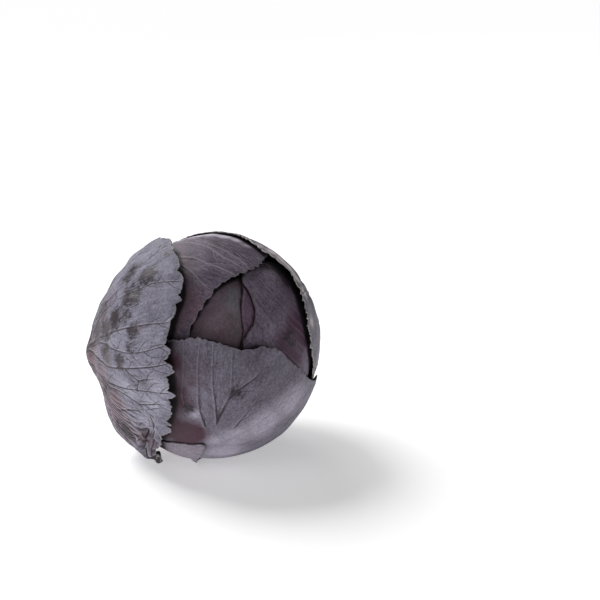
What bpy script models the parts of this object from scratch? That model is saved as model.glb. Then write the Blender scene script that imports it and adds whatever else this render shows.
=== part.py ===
"""A red cabbage head, cut from its root and lying on its side on a small flat spot.

Every leaf is a shell that wraps the round head. A place on the head is given by two angles:
the polar angle, 0 at the stem and 180 at the crown, and the turn about the stem, 0 at the top,
90 at the front and 180 at the bottom, where the head rests. The leaves lie over each other in
a fixed order, each one a step further out than the one before.

Metres, +Z up. The origin is the centre of the flat spot.
"""

import math
import random

import bmesh
import bpy
from mathutils import Vector
from mathutils.bvhtree import BVHTree

# Driving dimensions, in metres
INNER_HEAD_RADIUS = 0.0720
LEAF_STEP = 0.0020
LEAF_THICKNESS = 0.0009
FLAT_SPOT_DEPTH = 0.0040
STUMP_RADIUS = 0.0125
STUMP_OUT = 0.0880
STUMP_FOOT_SHARE = 0.9
STUMP_BEVEL = 0.0012
RIB_RADIUS = 0.00065
RIB_PROUD = 0.00045
RIB_TAPER = 0.55
TOUCHING_GAP = 0.0004
WELD_DISTANCE = 0.00001

# The head's form: its radius at each polar angle, as a share of the inner head's radius
FORM = [(0, 0.970), (30, 0.955), (60, 0.960), (85, 1.005), (105, 1.030), (130, 1.030),
        (155, 1.035), (180, 1.050)]

# How the head lies: its stem points left, turned to the back and a little down
STEM_TURN_DEG = 26.8
STEM_DIP_DEG = 8.3

# The leaves' bases bend round the stump at this polar angle
BASE_CLEAR_DEG = 11.0
BASE_BEND = 6

# The leaf that the head rests on, counted from the inside
RESTING_LEAF = 6

# The outer part of a leaf, as a share of its reach, where its margin stands off and waves
STAND_FROM = 0.62
WAVES_FROM = 0.70
WAVES_ROUND = 11

# The margin has no teeth past this bearing, where the leaf's base is, and they fade before it
SMOOTH_BASE_DEG = 122.0
TEETH_FADE_DEG = 15.0
SHORTEST_TOOTH_SHARE = 0.35

BALL_SUBDIVISIONS = 4
RIB_STEP_DEG = 7.0
RIB_FREE_START_DEG = 3.0
FAR_OUTSIDE = 0.2
STUMP_SIDES = 20

# Each leaf, from the inside out.
# centre: (polar angle, turn) of its middle, in degrees.
# edge: (bearing, reach, stand) round its margin. Bearing 0 points away from the stem, 180 at the
#   stem, and a positive one is to the right, seen from outside with the stem below. Reach is the
#   arc from the middle in degrees, and stand is how far the margin stands off, in millimetres.
# bulges: (polar angle, turn, height in millimetres, spread in degrees) of each loose place.
# cells: how many grid cells it has each way. teeth, wave: how far the margin's teeth reach, in
#   degrees, and how far its waves lift, in millimetres.
# ribs: (bearing, length) of each, in degrees, from where they start at (polar angle, turn).
LEAVES = {
    "inner_leaf": dict(
        centre=(110, 200), cells=20, teeth=0.6, wave=0.0, bulges=[], seed=3, colour=(0.115, 0.075, 0.100),
        edge=[(-180, 98, 0), (-165, 100, 0), (-150, 94, 0), (-125, 76, 0), (-90, 68, 0), (-62, 76, 0),
              (-45, 86, 0), (-34, 95, 0), (-27, 100, 0), (-22, 106, 0), (-17, 111, 0), (-8, 116, 0),
              (0, 120, 0), (12, 121, 0), (30, 112, 0), (50, 94, 0), (75, 76, 0), (100, 68, 0),
              (130, 78, 0), (150, 94, 0), (165, 100, 0)],
        rib_start=(90, 200), ribs=[],
    ),
    "crown_leaf": dict(
        centre=(110, 200), cells=20, teeth=0.6, wave=0.0, bulges=[], seed=4, colour=(0.180, 0.135, 0.185),
        edge=[(-180, 98, 0), (-165, 100, 0), (-150, 92, 0), (-125, 74, 0), (-90, 66, 0), (-62, 74, 0),
              (-45, 86, 0), (-34, 94, 0), (-29, 98, 0), (-22, 99.5, 0), (-15, 103, 0), (-9, 111, 0),
              (-5, 118, 0), (3, 121, 0), (12, 119, 0), (21, 115, 0), (34, 106, 0), (50, 92, 0),
              (75, 74, 0), (100, 66, 0), (130, 76, 0), (150, 92, 0), (165, 100, 0)],
        rib_start=(90, 200), ribs=[(-12, 116), (10, 118)],
    ),
    "top_leaf": dict(
        centre=(75, 8), cells=18, teeth=1.0, wave=0.0, bulges=[], seed=5, colour=(0.200, 0.160, 0.205),
        edge=[(-180, 63, 0), (-165, 70, 0), (-150, 69, 0), (-110, 65, 0), (-70, 62, 0), (-35, 58, 0),
              (-4, 57, 0), (12, 55, 0), (30, 54, 0), (39, 56.5, 0), (47, 60, 0), (55, 65, 0), (62, 71, 0),
              (82, 70, 0), (110, 66, 0), (150, 69, 0), (165, 70, 0)],
        rib_start=(14, 8), ribs=[(-24, 100), (4, 110), (24, 104)],
    ),
    "back_leaf": dict(
        centre=(85, 279), cells=18, teeth=1.6, wave=0.5, bulges=[], seed=8, colour=(0.240, 0.205, 0.265),
        edge=[(-180, 73, 0), (-165, 79, 0), (-150, 78, 0), (-115, 70, 0), (-90, 68, 0), (-60, 74, 0),
              (-35, 83, 0), (-21, 88.5, 0), (-10, 92, 0.3), (1, 93.3, 0.5), (12, 91, 1.0), (21, 86, 1.5),
              (31, 80.5, 2.0), (40, 78, 2.0), (47, 78, 2.0), (53, 76, 1.5), (60, 71.5, 1.0),
              (70, 67.5, 0.5), (82, 65.5, 0), (95, 66, 0), (125, 72, 0), (150, 80, 0), (165, 80, 0)],
        rib_start=(14, 279), ribs=[(-48, 100), (-16, 126), (16, 130), (46, 110)],
    ),
    "front_leaf": dict(
        centre=(105, 134), cells=18, teeth=1.2, wave=0.2, bulges=[], seed=6, colour=(0.230, 0.215, 0.270),
        edge=[(-180, 93, 0), (-165, 98, 0), (-150, 90, 0), (-115, 71, 0), (-82, 61, 0), (-66, 60.5, 0),
              (-50, 58, 0), (-40, 57.5, 0), (-32, 61, 0), (-22, 62.5, 0), (-8, 61, 0), (4, 61, 0),
              (14, 63, 0), (24, 68, 0), (36, 78, 0), (60, 82, 0), (100, 78, 0), (130, 80, 0),
              (150, 92, 0), (165, 98, 0)],
        rib_start=(114, 122), ribs=[(176, 60), (-92, 42), (-76, 44), (-56, 41), (-30, 40), (2, 44)],
    ),
    "under_leaf": dict(
        centre=(60, 180), cells=18, teeth=1.2, wave=0.0, bulges=[], seed=7, colour=(0.260, 0.215, 0.280),
        edge=[(-180, 48, 0), (-165, 54, 0), (-150, 55, 0), (-110, 54, 0), (-88, 50, 0), (-74, 52, 0),
              (-67, 59, 0.3), (-58, 61, 0.8), (-51, 63, 1.5), (-45, 50, 1.0), (-38, 42, 0), (-20, 38, 0),
              (10, 39, 0), (45, 46, 0), (90, 56, 0), (125, 55, 0), (150, 55, 0), (165, 54, 0)],
        rib_start=(14, 180), ribs=[(-36, 62), (0, 44), (36, 62)],
    ),
    "side_leaf": dict(
        centre=(50, 80), cells=22, teeth=1.7, wave=0.6, seed=9, colour=(0.250, 0.250, 0.305),
        bulges=[(28, 86, 7.0, 10), (52, 140, 9.5, 15)],
        edge=[(-180, 38, 0), (-165, 45, 0), (-150, 48, 0), (-120, 57, 0), (-92, 66, 0.5),
              (-76, 68.5, 1.0), (-61, 68, 1.5), (-45, 66, 2.0), (-33, 64, 2.0), (-23, 58, 2.0),
              (-8, 54, 2.5), (8, 54.5, 2.5), (25, 56.5, 2.5), (40, 55.5, 2.5), (54, 55, 3.0),
              (66, 56, 4.0), (78, 60, 5.0), (88, 62, 5.0), (98, 60, 4.0), (110, 54, 2.0), (130, 50, 0),
              (150, 47, 0), (165, 45, 0)],
        rib_start=(24, 85), ribs=[(-50, 76), (-22, 77), (-3, 76), (14, 75), (34, 70), (56, 58)],
    ),
}

INNER_HEAD_COLOUR = (0.100, 0.065, 0.080)
STUMP_COLOUR = (0.640, 0.560, 0.470)
LEAF_ROUGHNESS = 0.55
STUMP_ROUGHNESS = 0.8


def axes_of_head():
    """The head's own directions in the world: its stem, its top and its front."""
    turn, dip = math.radians(STEM_TURN_DEG), math.radians(STEM_DIP_DEG)
    stem = Vector((-math.cos(turn) * math.cos(dip), math.sin(turn) * math.cos(dip), -math.sin(dip)))
    up = Vector((0.0, 0.0, 1.0))
    top = (up - up.dot(stem) * stem).normalized()
    return stem, top, top.cross(stem)


STEM, TOP, FRONT = axes_of_head()


def direction(polar_deg, turn_deg):
    """The unit vector from the head's centre at a polar angle and a turn."""
    polar, turn = math.radians(polar_deg), math.radians(turn_deg)
    around = math.cos(turn) * TOP + math.sin(turn) * FRONT
    return math.cos(polar) * STEM + math.sin(polar) * around


def polar_and_turn(way):
    """The polar angle and the turn of a direction, in degrees."""
    return math.degrees(way.angle(STEM)), math.degrees(math.atan2(way.dot(FRONT), way.dot(TOP)))


def smooth_between(stations, place, column):
    """A value at a place among rows of stations, on a smooth curve through them."""
    after = next(i for i, row in enumerate(stations) if row[0] > place)
    before, left, right, beyond = stations[after - 2:after + 2]
    span = right[0] - left[0]
    t = (place - left[0]) / span
    slope_in = (right[column] - before[column]) / (right[0] - before[0]) * span
    slope_out = (beyond[column] - left[column]) / (beyond[0] - left[0]) * span
    return ((2 * t ** 3 - 3 * t ** 2 + 1) * left[column] + (t ** 3 - 2 * t ** 2 + t) * slope_in
            + (3 * t ** 2 - 2 * t ** 3) * right[column] + (t ** 3 - t ** 2) * slope_out)


def smooth_rise(t):
    """A smooth step from 0 to 1."""
    t = max(0.0, min(1.0, t))
    return t * t * (3 - 2 * t)


def form_past_both_ends():
    """The form's stations, with their mirror images past the stem and past the crown."""
    low = [(-polar, share) for polar, share in FORM[2:0:-1]]
    high = [(360 - polar, share) for polar, share in FORM[-2:-4:-1]]
    return low + FORM + high


ROUNDED_FORM = form_past_both_ends()


def layer_radius(polar_deg, layer):
    """The radius of a layer's outer face at a polar angle. Layer 0 is the inner head."""
    return INNER_HEAD_RADIUS * smooth_between(ROUNDED_FORM, polar_deg, 1) + layer * LEAF_STEP


DOWN = Vector((0.0, 0.0, -1.0))
CENTRE_HEIGHT = layer_radius(polar_and_turn(DOWN)[0], RESTING_LEAF) - FLAT_SPOT_DEPTH
CENTRE = Vector((0.0, 0.0, CENTRE_HEIGHT))


def on_head(way, layer, lift=0.0):
    """The point of a layer's outer face along a direction, kept above the floor."""
    reach = layer_radius(polar_and_turn(way)[0], layer) + lift
    floor = max(0.0, RESTING_LEAF - layer) * LEAF_STEP
    if way.z < 0:
        reach = min(reach, (CENTRE_HEIGHT - floor) / -way.z)
    return CENTRE + reach * way


def clear_of_stump(way):
    """A direction near the stem, bent away from it so that it passes the stump."""
    polar, turn = polar_and_turn(way)
    return direction((polar ** BASE_BEND + BASE_CLEAR_DEG ** BASE_BEND) ** (1 / BASE_BEND), turn)


def compass(middle):
    """The directions away from the stem and to the right, at a place on the head."""
    away = (STEM.dot(middle) * middle - STEM).normalized()
    return away, away.cross(middle)


def step_from(start, bearing_deg, arc_deg):
    """The direction reached by going an arc along a bearing."""
    away, right = compass(start)
    bearing, arc = math.radians(bearing_deg), math.radians(arc_deg)
    heading = math.cos(bearing) * away + math.sin(bearing) * right
    return math.cos(arc) * start + math.sin(arc) * heading


def closed_round(edge):
    """The stations of a closed margin, repeated a turn below and a turn above."""
    return [(row[0] + turn, *row[1:]) for turn in (-360, 0, 360) for row in edge]


def leaf_lift(leaf, way):
    """How far a leaf stands off its layer at a direction: its margin, its waves and its loose places."""
    middle = direction(*leaf["centre"])
    away, right = compass(middle)
    bearing = math.degrees(math.atan2(way.dot(right), way.dot(away)))
    edge = closed_round(leaf["edge"])
    share = math.degrees(way.angle(middle)) / smooth_between(edge, bearing, 1)
    stand = smooth_between(edge, bearing, 2) * smooth_rise((share - STAND_FROM) / (1 - STAND_FROM))
    wave = leaf["wave"] * math.sin(math.radians(WAVES_ROUND * bearing))
    wave *= smooth_rise((share - WAVES_FROM) / (1 - WAVES_FROM))
    bulge = 0.0
    for polar, turn, height, spread in leaf["bulges"]:
        apart = math.degrees(way.angle(direction(polar, turn)))
        bulge += height * math.exp(-((apart / spread) ** 2))
    return (stand + wave + bulge) / 1000


def new_object(name, mesh, collection, colour, roughness):
    """An object with its own plain material."""
    material = bpy.data.materials.new(name)
    material.use_nodes = True
    shader = material.node_tree.nodes["Principled BSDF"]
    shader.inputs["Base Color"].default_value = (*colour, 1.0)
    shader.inputs["Roughness"].default_value = roughness
    mesh.materials.append(material)
    obj = bpy.data.objects.new(name, mesh)
    collection.objects.link(obj)
    return obj


def evaluated_mesh(obj):
    """A new mesh of what the object's modifiers or bevel show."""
    return bpy.data.meshes.new_from_object(obj.evaluated_get(bpy.context.evaluated_depsgraph_get()))


def make_stump(collection):
    """The cut stem, a short tapered stub that stands on the inner head."""
    foot = layer_radius(0, 0) + TOUCHING_GAP
    mesh = bpy.data.meshes.new("stump")
    stub = bmesh.new()
    bmesh.ops.create_cone(stub, cap_ends=True, segments=STUMP_SIDES, radius1=STUMP_RADIUS * STUMP_FOOT_SHARE,
                          radius2=STUMP_RADIUS, depth=STUMP_OUT - foot)
    stub.to_mesh(mesh)
    stub.free()
    obj = new_object("stump", mesh, collection, STUMP_COLOUR, STUMP_ROUGHNESS)
    obj.location = CENTRE + STEM * (foot + STUMP_OUT) / 2
    obj.rotation_mode = "QUATERNION"
    obj.rotation_quaternion = STEM.to_track_quat("Z", "Y")
    bevel = obj.modifiers.new("cut edge", "BEVEL")
    bevel.width = STUMP_BEVEL
    bevel.segments = 2


def make_inner_head(collection):
    """The tight head inside the leaves: a ball in the head's form, flat over where it rests."""
    mesh = bpy.data.meshes.new("inner_head")
    ball = bmesh.new()
    bmesh.ops.create_icosphere(ball, subdivisions=BALL_SUBDIVISIONS, radius=1.0)
    for vertex in ball.verts:
        vertex.co = on_head(vertex.co.normalized(), 0)
    ball.to_mesh(mesh)
    ball.free()
    mesh.shade_smooth()
    new_object("inner_head", mesh, collection, INNER_HEAD_COLOUR, LEAF_ROUGHNESS)


def border_place(column, row, cells):
    """The place of a grid's border point, counted round the border, or None inside it."""
    if row == 0:
        return column
    if column == cells:
        return cells + row
    if row == cells:
        return 3 * cells - column
    if column == 0:
        return 4 * cells - row
    return None


def make_sheet(name, layer, collection):
    """A square grid drawn out to the leaf's outline, bent round the head and given a wall."""
    leaf = LEAVES[name]
    cells = leaf["cells"]
    middle = direction(*leaf["centre"])
    edge = closed_round(leaf["edge"])
    draw = random.Random(leaf["seed"])
    teeth = [(-1 if i % 2 else 1) * leaf["teeth"] * draw.uniform(SHORTEST_TOOTH_SHARE, 1.0)
             for i in range(4 * cells)]
    mesh = bpy.data.meshes.new(name)
    sheet = bmesh.new()
    bmesh.ops.create_grid(sheet, x_segments=cells, y_segments=cells, size=1.0)
    for vertex in sheet.verts:
        x, y = vertex.co.x, vertex.co.y
        place = border_place(round((x + 1) * cells / 2), round((y + 1) * cells / 2), cells)
        across, along = x * math.sqrt(1 - y * y / 2), y * math.sqrt(1 - x * x / 2)
        bearing, share = math.degrees(math.atan2(across, along)), math.hypot(across, along)
        toothed = smooth_rise((SMOOTH_BASE_DEG - abs(bearing)) / TEETH_FADE_DEG)
        tooth = 0.0 if place is None else teeth[place] * toothed
        reach = smooth_between(edge, bearing, 1) + tooth
        way = clear_of_stump(step_from(middle, bearing, share * reach))
        vertex.co = on_head(way, layer, leaf_lift(leaf, way))
    sheet.to_mesh(mesh)
    sheet.free()
    mesh.shade_smooth()
    obj = new_object(name, mesh, collection, leaf["colour"], LEAF_ROUGHNESS)
    wall = obj.modifiers.new("wall", "SOLIDIFY")
    wall.thickness = LEAF_THICKNESS
    wall.offset = -1.0
    return obj


def make_rib(leaf, sheet, bearing, length, collection):
    """A tapered tube, half sunk in the leaf's outer face, which ends under the face."""
    start = direction(*leaf["rib_start"])
    curve = bpy.data.curves.new("rib", "CURVE")
    curve.dimensions = "3D"
    curve.bevel_depth = RIB_RADIUS
    curve.bevel_resolution = 0
    curve.use_fill_caps = True
    spline = curve.splines.new("POLY")
    steps = round(length / RIB_STEP_DEG)
    spline.points.add(steps)
    for i, point in enumerate(spline.points):
        t = i / steps
        arc = RIB_FREE_START_DEG + t * (length - RIB_FREE_START_DEG)
        way = clear_of_stump(step_from(start, bearing, arc))
        face = sheet.ray_cast(CENTRE + FAR_OUTSIDE * way, -way)[0]
        point.radius = 1 + t * (RIB_TAPER - 1)
        point.co = (*(face + way * (RIB_PROUD * (1 - t ** 4) - RIB_RADIUS * point.radius)), 1.0)
    guide = bpy.data.objects.new("rib_guide", curve)
    collection.objects.link(guide)
    rib = bpy.data.objects.new("rib", evaluated_mesh(guide))
    tube = bmesh.new()
    tube.from_mesh(rib.data)
    bmesh.ops.remove_doubles(tube, verts=tube.verts, dist=WELD_DISTANCE)
    bmesh.ops.recalc_face_normals(tube, faces=tube.faces)
    tube.to_mesh(rib.data)
    tube.free()
    bpy.data.objects.remove(guide)
    collection.objects.link(rib)


def make_leaf(name, layer, collection):
    """The leaf's sheet, with its ribs joined on in one union."""
    leaf = LEAVES[name]
    obj = make_sheet(name, layer, collection)
    if not leaf["ribs"]:
        return
    ribs = bpy.data.collections.new(name + "_ribs")
    bpy.context.scene.collection.children.link(ribs)
    sheet = BVHTree.FromObject(obj, bpy.context.evaluated_depsgraph_get())
    for bearing, length in leaf["ribs"]:
        make_rib(leaf, sheet, bearing, length, ribs)
    union = obj.modifiers.new("ribs", "BOOLEAN")
    union.operation = "UNION"
    union.operand_type = "COLLECTION"
    union.collection = ribs
    joined = evaluated_mesh(obj)
    obj.modifiers.clear()
    obj.data = joined
    for rib in list(ribs.objects):
        bpy.data.objects.remove(rib)
    bpy.data.collections.remove(ribs)


def main():
    for obj in list(bpy.data.objects):
        bpy.data.objects.remove(obj)
    head = bpy.data.collections.new("red_cabbage_head")
    bpy.context.scene.collection.children.link(head)
    make_stump(head)
    make_inner_head(head)
    for layer, name in enumerate(LEAVES, start=1):
        make_leaf(name, layer, head)


main()
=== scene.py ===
# %% [markdown]
# # A red cabbage head
#
# This lesson dresses the plain model of a red cabbage head that lies on its side. The plain
# model fixes the size and the place of every leaf. Here each leaf gets its torn and toothed
# margin, its veins, its puckers and its waxy bloom. All lengths are in metres unless a name
# says millimetres, and +Z is up.

# %% The plain model
import math
import random

import bpy
import numpy as np
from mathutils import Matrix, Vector


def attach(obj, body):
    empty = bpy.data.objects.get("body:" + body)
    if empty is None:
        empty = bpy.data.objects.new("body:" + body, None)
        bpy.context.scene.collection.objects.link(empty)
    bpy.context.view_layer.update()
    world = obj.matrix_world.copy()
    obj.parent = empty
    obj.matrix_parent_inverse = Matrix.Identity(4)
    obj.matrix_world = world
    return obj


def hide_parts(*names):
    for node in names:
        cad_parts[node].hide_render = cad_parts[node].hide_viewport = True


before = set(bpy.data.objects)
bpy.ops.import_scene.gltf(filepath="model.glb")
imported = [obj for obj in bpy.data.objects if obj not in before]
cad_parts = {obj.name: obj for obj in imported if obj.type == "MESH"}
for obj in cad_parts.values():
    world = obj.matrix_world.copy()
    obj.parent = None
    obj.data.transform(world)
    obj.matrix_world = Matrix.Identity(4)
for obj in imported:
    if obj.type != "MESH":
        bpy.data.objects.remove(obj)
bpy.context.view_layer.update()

# %% [markdown]
# ## Where things are on a round head
#
# A place on the head is two angles, as on a globe. The polar angle is 0 at the stem and 180 at
# the crown. The turn goes round the stem: 0 is the top, 90 the front, 180 the bottom. The
# stem points left, turned to the back and a little down. Working in angles lets every leaf
# wrap the head without any fitting. numpy does it for all the points of a leaf at once.

# %% The head's own directions
STEM_TURN_DEG = 26.8
STEM_DIP_DEG = 8.3
stem_turn, stem_dip = math.radians(STEM_TURN_DEG), math.radians(STEM_DIP_DEG)
STEM = np.array([
    -math.cos(stem_turn) * math.cos(stem_dip),
    math.sin(stem_turn) * math.cos(stem_dip),
    -math.sin(stem_dip),
])
TOP = np.array([0.0, 0.0, 1.0]) - STEM[2] * STEM
TOP /= np.linalg.norm(TOP)
FRONT = np.cross(TOP, STEM)


def direction(polar_deg, turn_deg):
    """Unit vectors from the head's centre, one row for each pair of angles."""
    polar, turn = np.radians(polar_deg)[..., None], np.radians(turn_deg)[..., None]
    return np.cos(polar) * STEM + np.sin(polar) * (np.cos(turn) * TOP + np.sin(turn) * FRONT)


def way_to(place):
    """The unit vector to one place, which is given as (polar angle, turn)."""
    return direction(*np.array(place, float))


def arc_from(start, ways):
    """The arcs from one unit vector to others, in degrees."""
    return np.degrees(np.arccos(np.clip(ways @ start, -1, 1)))


def polar_and_turn(ways):
    """The two angles of unit vectors, in degrees."""
    return arc_from(STEM, ways), np.degrees(np.arctan2(ways @ FRONT, ways @ TOP))


print("stem:", STEM.round(3), "top:", TOP.round(3), "front:", FRONT.round(3))

# %% [markdown]
# From any place, a point can also be given by a bearing and an arc, as a sailor would. Bearing
# 0 goes away from the stem and 90 to the right, seen from outside. Leaf outlines are given
# that way from the middle of the leaf.

# %% Bearings and arcs
def compass(middle):
    """The directions away from the stem and to the right, at a place."""
    away = STEM.dot(middle) * middle - STEM
    away /= np.linalg.norm(away)
    return away, np.cross(away, middle)


def step_from(start, bearing_deg, arc_deg):
    """The unit vectors reached from a start along bearings and arcs."""
    away, right = compass(start)
    bearing, arc = np.radians(bearing_deg)[..., None], np.radians(arc_deg)[..., None]
    return np.cos(arc) * start + np.sin(arc) * (np.cos(bearing) * away + np.sin(bearing) * right)


def bearing_and_arc(start, ways):
    """The bearings and arcs of unit vectors, seen from a start."""
    away, right = compass(start)
    return np.degrees(np.arctan2(ways @ right, ways @ away)), arc_from(start, ways)


# %% [markdown]
# Margins, radii and stand-offs are given at a few stations. A smooth curve runs through them,
# with a slope at each station that its two neighbours set. That needs few numbers and makes
# no corners.

# %% Smooth curves through stations
def through(stations, places, column=1):
    """Values at the places, on a smooth curve through a column of the stations."""
    rows = np.array(stations, float)
    where, value = rows[:, 0], rows[:, column]
    after = np.clip(np.searchsorted(where, places, side="right"), 2, len(rows) - 2)
    before, left, right, beyond = after - 2, after - 1, after, after + 1
    span = where[right] - where[left]
    t = (places - where[left]) / span
    slope_in = (value[right] - value[before]) / (where[right] - where[before]) * span
    slope_out = (value[beyond] - value[left]) / (where[beyond] - where[left]) * span
    return ((2 * t ** 3 - 3 * t ** 2 + 1) * value[left] + (t ** 3 - 2 * t ** 2 + t) * slope_in
            + (3 * t ** 2 - 2 * t ** 3) * value[right] + (t ** 3 - t ** 2) * slope_out)


def round_and_round(edge):
    """The stations of a closed margin, repeated a turn below and a turn above."""
    return [(row[0] + turn, *row[1:]) for turn in (-360, 0, 360) for row in edge]


def smooth_rise(t):
    """A smooth step from 0 to 1."""
    t = np.clip(t, 0, 1)
    return t * t * (3 - 2 * t)


# %% [markdown]
# ## The form of the head
#
# The head is not quite a ball: it is flatter at the stem and fuller at the crown. Each leaf
# lies one step further out than the one before. The head rests on a small flat spot, so
# everything is kept above the floor, and inner leaves stay a step above outer ones.

# %% Radii and layers
INNER_HEAD_RADIUS = 0.0720
LEAF_STEP = 0.0020
FLAT_SPOT_DEPTH = 0.0040
RESTING_LEAF = 6
FORM = [(-60, 0.960), (-30, 0.955), (0, 0.970), (30, 0.955), (60, 0.960), (85, 1.005), (105, 1.030),
        (130, 1.030), (155, 1.035), (180, 1.050), (205, 1.035), (230, 1.030)]
BASE_CLEAR_DEG = 11.0
BASE_BEND = 6


def layer_radius(polar_deg, layer):
    """The radius of a layer's outer face. Layer 0 is the inner head."""
    return INNER_HEAD_RADIUS * through(FORM, polar_deg) + layer * LEAF_STEP


down_polar = polar_and_turn(np.array([[0.0, 0.0, -1.0]]))[0]
CENTRE_HEIGHT = float(layer_radius(down_polar, RESTING_LEAF)[0]) - FLAT_SPOT_DEPTH
CENTRE = np.array([0.0, 0.0, CENTRE_HEIGHT])


def on_head(ways, layer, lift, bare=0.0):
    """The points of a layer's outer face along directions, kept above the floor. Where a leaf is
    bare it may sink to the floor itself."""
    reach = layer_radius(polar_and_turn(ways)[0], layer) + lift
    floor = max(0.0, RESTING_LEAF - layer) * LEAF_STEP * (1 - bare)
    falling = np.maximum(-ways[:, 2], 1e-6)
    reach = np.where(ways[:, 2] < 0, np.minimum(reach, (CENTRE_HEIGHT - floor) / falling), reach)
    return CENTRE + reach[:, None] * ways


def clear_of_stump(ways):
    """Directions near the stem, bent away from it so that they pass the stump."""
    polar, turn = polar_and_turn(ways)
    return direction((polar ** BASE_BEND + BASE_CLEAR_DEG ** BASE_BEND) ** (1 / BASE_BEND), turn)


print("centre height in mm:", round(1000 * CENTRE_HEIGHT, 2))

# %% [markdown]
# ## The outlines of the seven leaves
#
# These outlines follow the plain model's, from the inside out. Each station is a bearing from
# the leaf's middle, the arc to the margin, and how far the margin stands off in millimetres.
# Three margins are drawn a little finer than in the plain model: the back leaf's where it
# passes the crown, the under leaf's corner, and the stand-off of the side leaf. All outlines
# are needed before the first leaf is made, because a leaf is only allowed deep relief where
# no other leaf covers it.

# %% Outlines
LEAVES = {
    "inner_leaf": dict(
        centre=(110, 200), bulges=[],
        edge=[(-180, 98, 0), (-165, 100, 0), (-150, 94, 0), (-125, 76, 0), (-90, 68, 0), (-62, 76, 0),
              (-45, 86, 0), (-34, 95, 0), (-27, 100, 0), (-22, 106, 0), (-17, 111, 0), (-8, 116, 0),
              (0, 120, 0), (12, 121, 0), (30, 112, 0), (50, 94, 0), (75, 76, 0), (100, 68, 0),
              (130, 78, 0), (150, 94, 0), (165, 100, 0)]),
    "crown_leaf": dict(
        centre=(110, 200), bulges=[],
        edge=[(-180, 98, 0), (-165, 100, 0), (-150, 92, 0), (-125, 74, 0), (-90, 66, 0), (-62, 74, 0),
              (-45, 86, 0), (-34, 94, 0), (-29, 98, 0), (-22, 99.5, 0), (-15, 103, 0), (-9, 111, 0),
              (-5, 118, 0), (3, 121, 0), (12, 119, 0), (21, 115, 0), (34, 106, 0), (50, 92, 0),
              (75, 74, 0), (100, 66, 0), (130, 76, 0), (150, 92, 0), (165, 100, 0)]),
    "top_leaf": dict(
        centre=(75, 8), bulges=[],
        edge=[(-180, 63, 0), (-165, 70, 0), (-150, 69, 0), (-110, 65, 0), (-70, 62, 0), (-35, 58, 0),
              (-4, 57, 0), (12, 55, 0), (30, 54, 0), (39, 56.5, 0), (47, 60, 0), (55, 65, 0),
              (62, 71, 0), (82, 70, 0), (110, 66, 0), (150, 69, 0), (165, 70, 0)]),
    "back_leaf": dict(
        centre=(85, 279), bulges=[],
        edge=[(-180, 73, 0), (-165, 79, 0), (-150, 78, 0), (-115, 70, 0), (-90, 68, 0), (-60, 74, 0),
              (-35, 83, 0), (-21, 88.5, -0.6), (-10, 92, -0.8), (1, 92.5, -0.5), (12, 89, 0.4),
              (21, 83.5, 1.0), (31, 78.5, 1.4), (40, 78, 1.6), (47, 78, 1.6), (53, 76, 1.2),
              (60, 71.5, 0.8), (70, 67.5, 0.4), (82, 65.5, 0), (95, 66, 0), (125, 72, 0),
              (150, 80, 0), (165, 80, 0)]),
    "front_leaf": dict(
        centre=(105, 134), bulges=[],
        edge=[(-180, 93, 0), (-165, 98, 0), (-150, 90, 0), (-115, 71, 0), (-82, 61, 0), (-66, 60.5, 0),
              (-50, 58, 0), (-40, 57.5, 0), (-32, 61, 0), (-22, 62.5, 0), (-8, 61, 0), (4, 61, 0),
              (14, 63, 0), (24, 68, 0), (36, 78, 0), (60, 82, 0), (100, 78, 0), (130, 80, 0),
              (150, 92, 0), (165, 98, 0)]),
    "under_leaf": dict(
        centre=(60, 180), bulges=[],
        edge=[(-180, 48, 0), (-165, 54, 0), (-150, 55, 0), (-110, 54, 0), (-88, 50, 0), (-76, 53, -0.5),
              (-67, 58.5, -1.0), (-58, 62.5, -1.1), (-51, 64, -0.7), (-48, 47, 0.4), (-45, 39, 2.0),
              (-38, 33, 1.5), (-20, 32, 0), (10, 34, 0), (45, 45, 0), (90, 56, 0), (125, 55, 0),
              (150, 55, 0), (165, 54, 0)]),
    "side_leaf": dict(
        centre=(50, 80), bulges=[(28, 86, 7.0, 10), (52, 140, 9.5, 15)],
        edge=[(-180, 38, 0), (-165, 45, 0), (-150, 48, 0), (-120, 57, 0), (-92, 66, 0.2),
              (-76, 68.5, 0.2), (-61, 68, 0.2), (-45, 66, 0.1), (-33, 63.5, 0), (-23, 58, 0.4),
              (-8, 54, 1.8), (8, 54.5, 2.6), (25, 56.5, 3.0), (40, 55.5, 3.0), (54, 55, 3.0),
              (66, 56, 4.0), (78, 60, 5.0), (88, 62, 5.0), (98, 60, 4.0), (110, 54, 2.0), (130, 50, 0),
              (150, 47, 0), (165, 45, 0)]),
}
for layer, leaf in enumerate(LEAVES.values(), start=1):
    leaf["layer"] = layer
    leaf["middle"] = way_to(leaf["centre"])
    leaf["edge"] = round_and_round(leaf["edge"])
print("leaves, from the inside out:", list(LEAVES))

# %% Where other leaves cover one, and the painted shade beside them
PLAN_RADIUS_MM = 80.0
COVER_FROM, COVER_TO = 0.97, 1.04
# How far the painted shade reaches past a leaf's margin, in millimetres: these two leaves' own reach,
# and the close reach of all the others.
SHADE_REACH_MM = {"side_leaf": 5.0, "back_leaf": 1.8}
CLOSE_REACH_MM = 2.0


def laid_bare(layer, ways):
    """1 where no leaf further out covers a leaf, 0 where one does, smooth between."""
    bare = np.ones(len(ways))
    for leaf in LEAVES.values():
        if leaf["layer"] > layer:
            bearing, arc = bearing_and_arc(leaf["middle"], ways)
            share = arc / through(leaf["edge"], bearing)
            bare *= smooth_rise((share - COVER_FROM) / (COVER_TO - COVER_FROM))
    return bare


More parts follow.
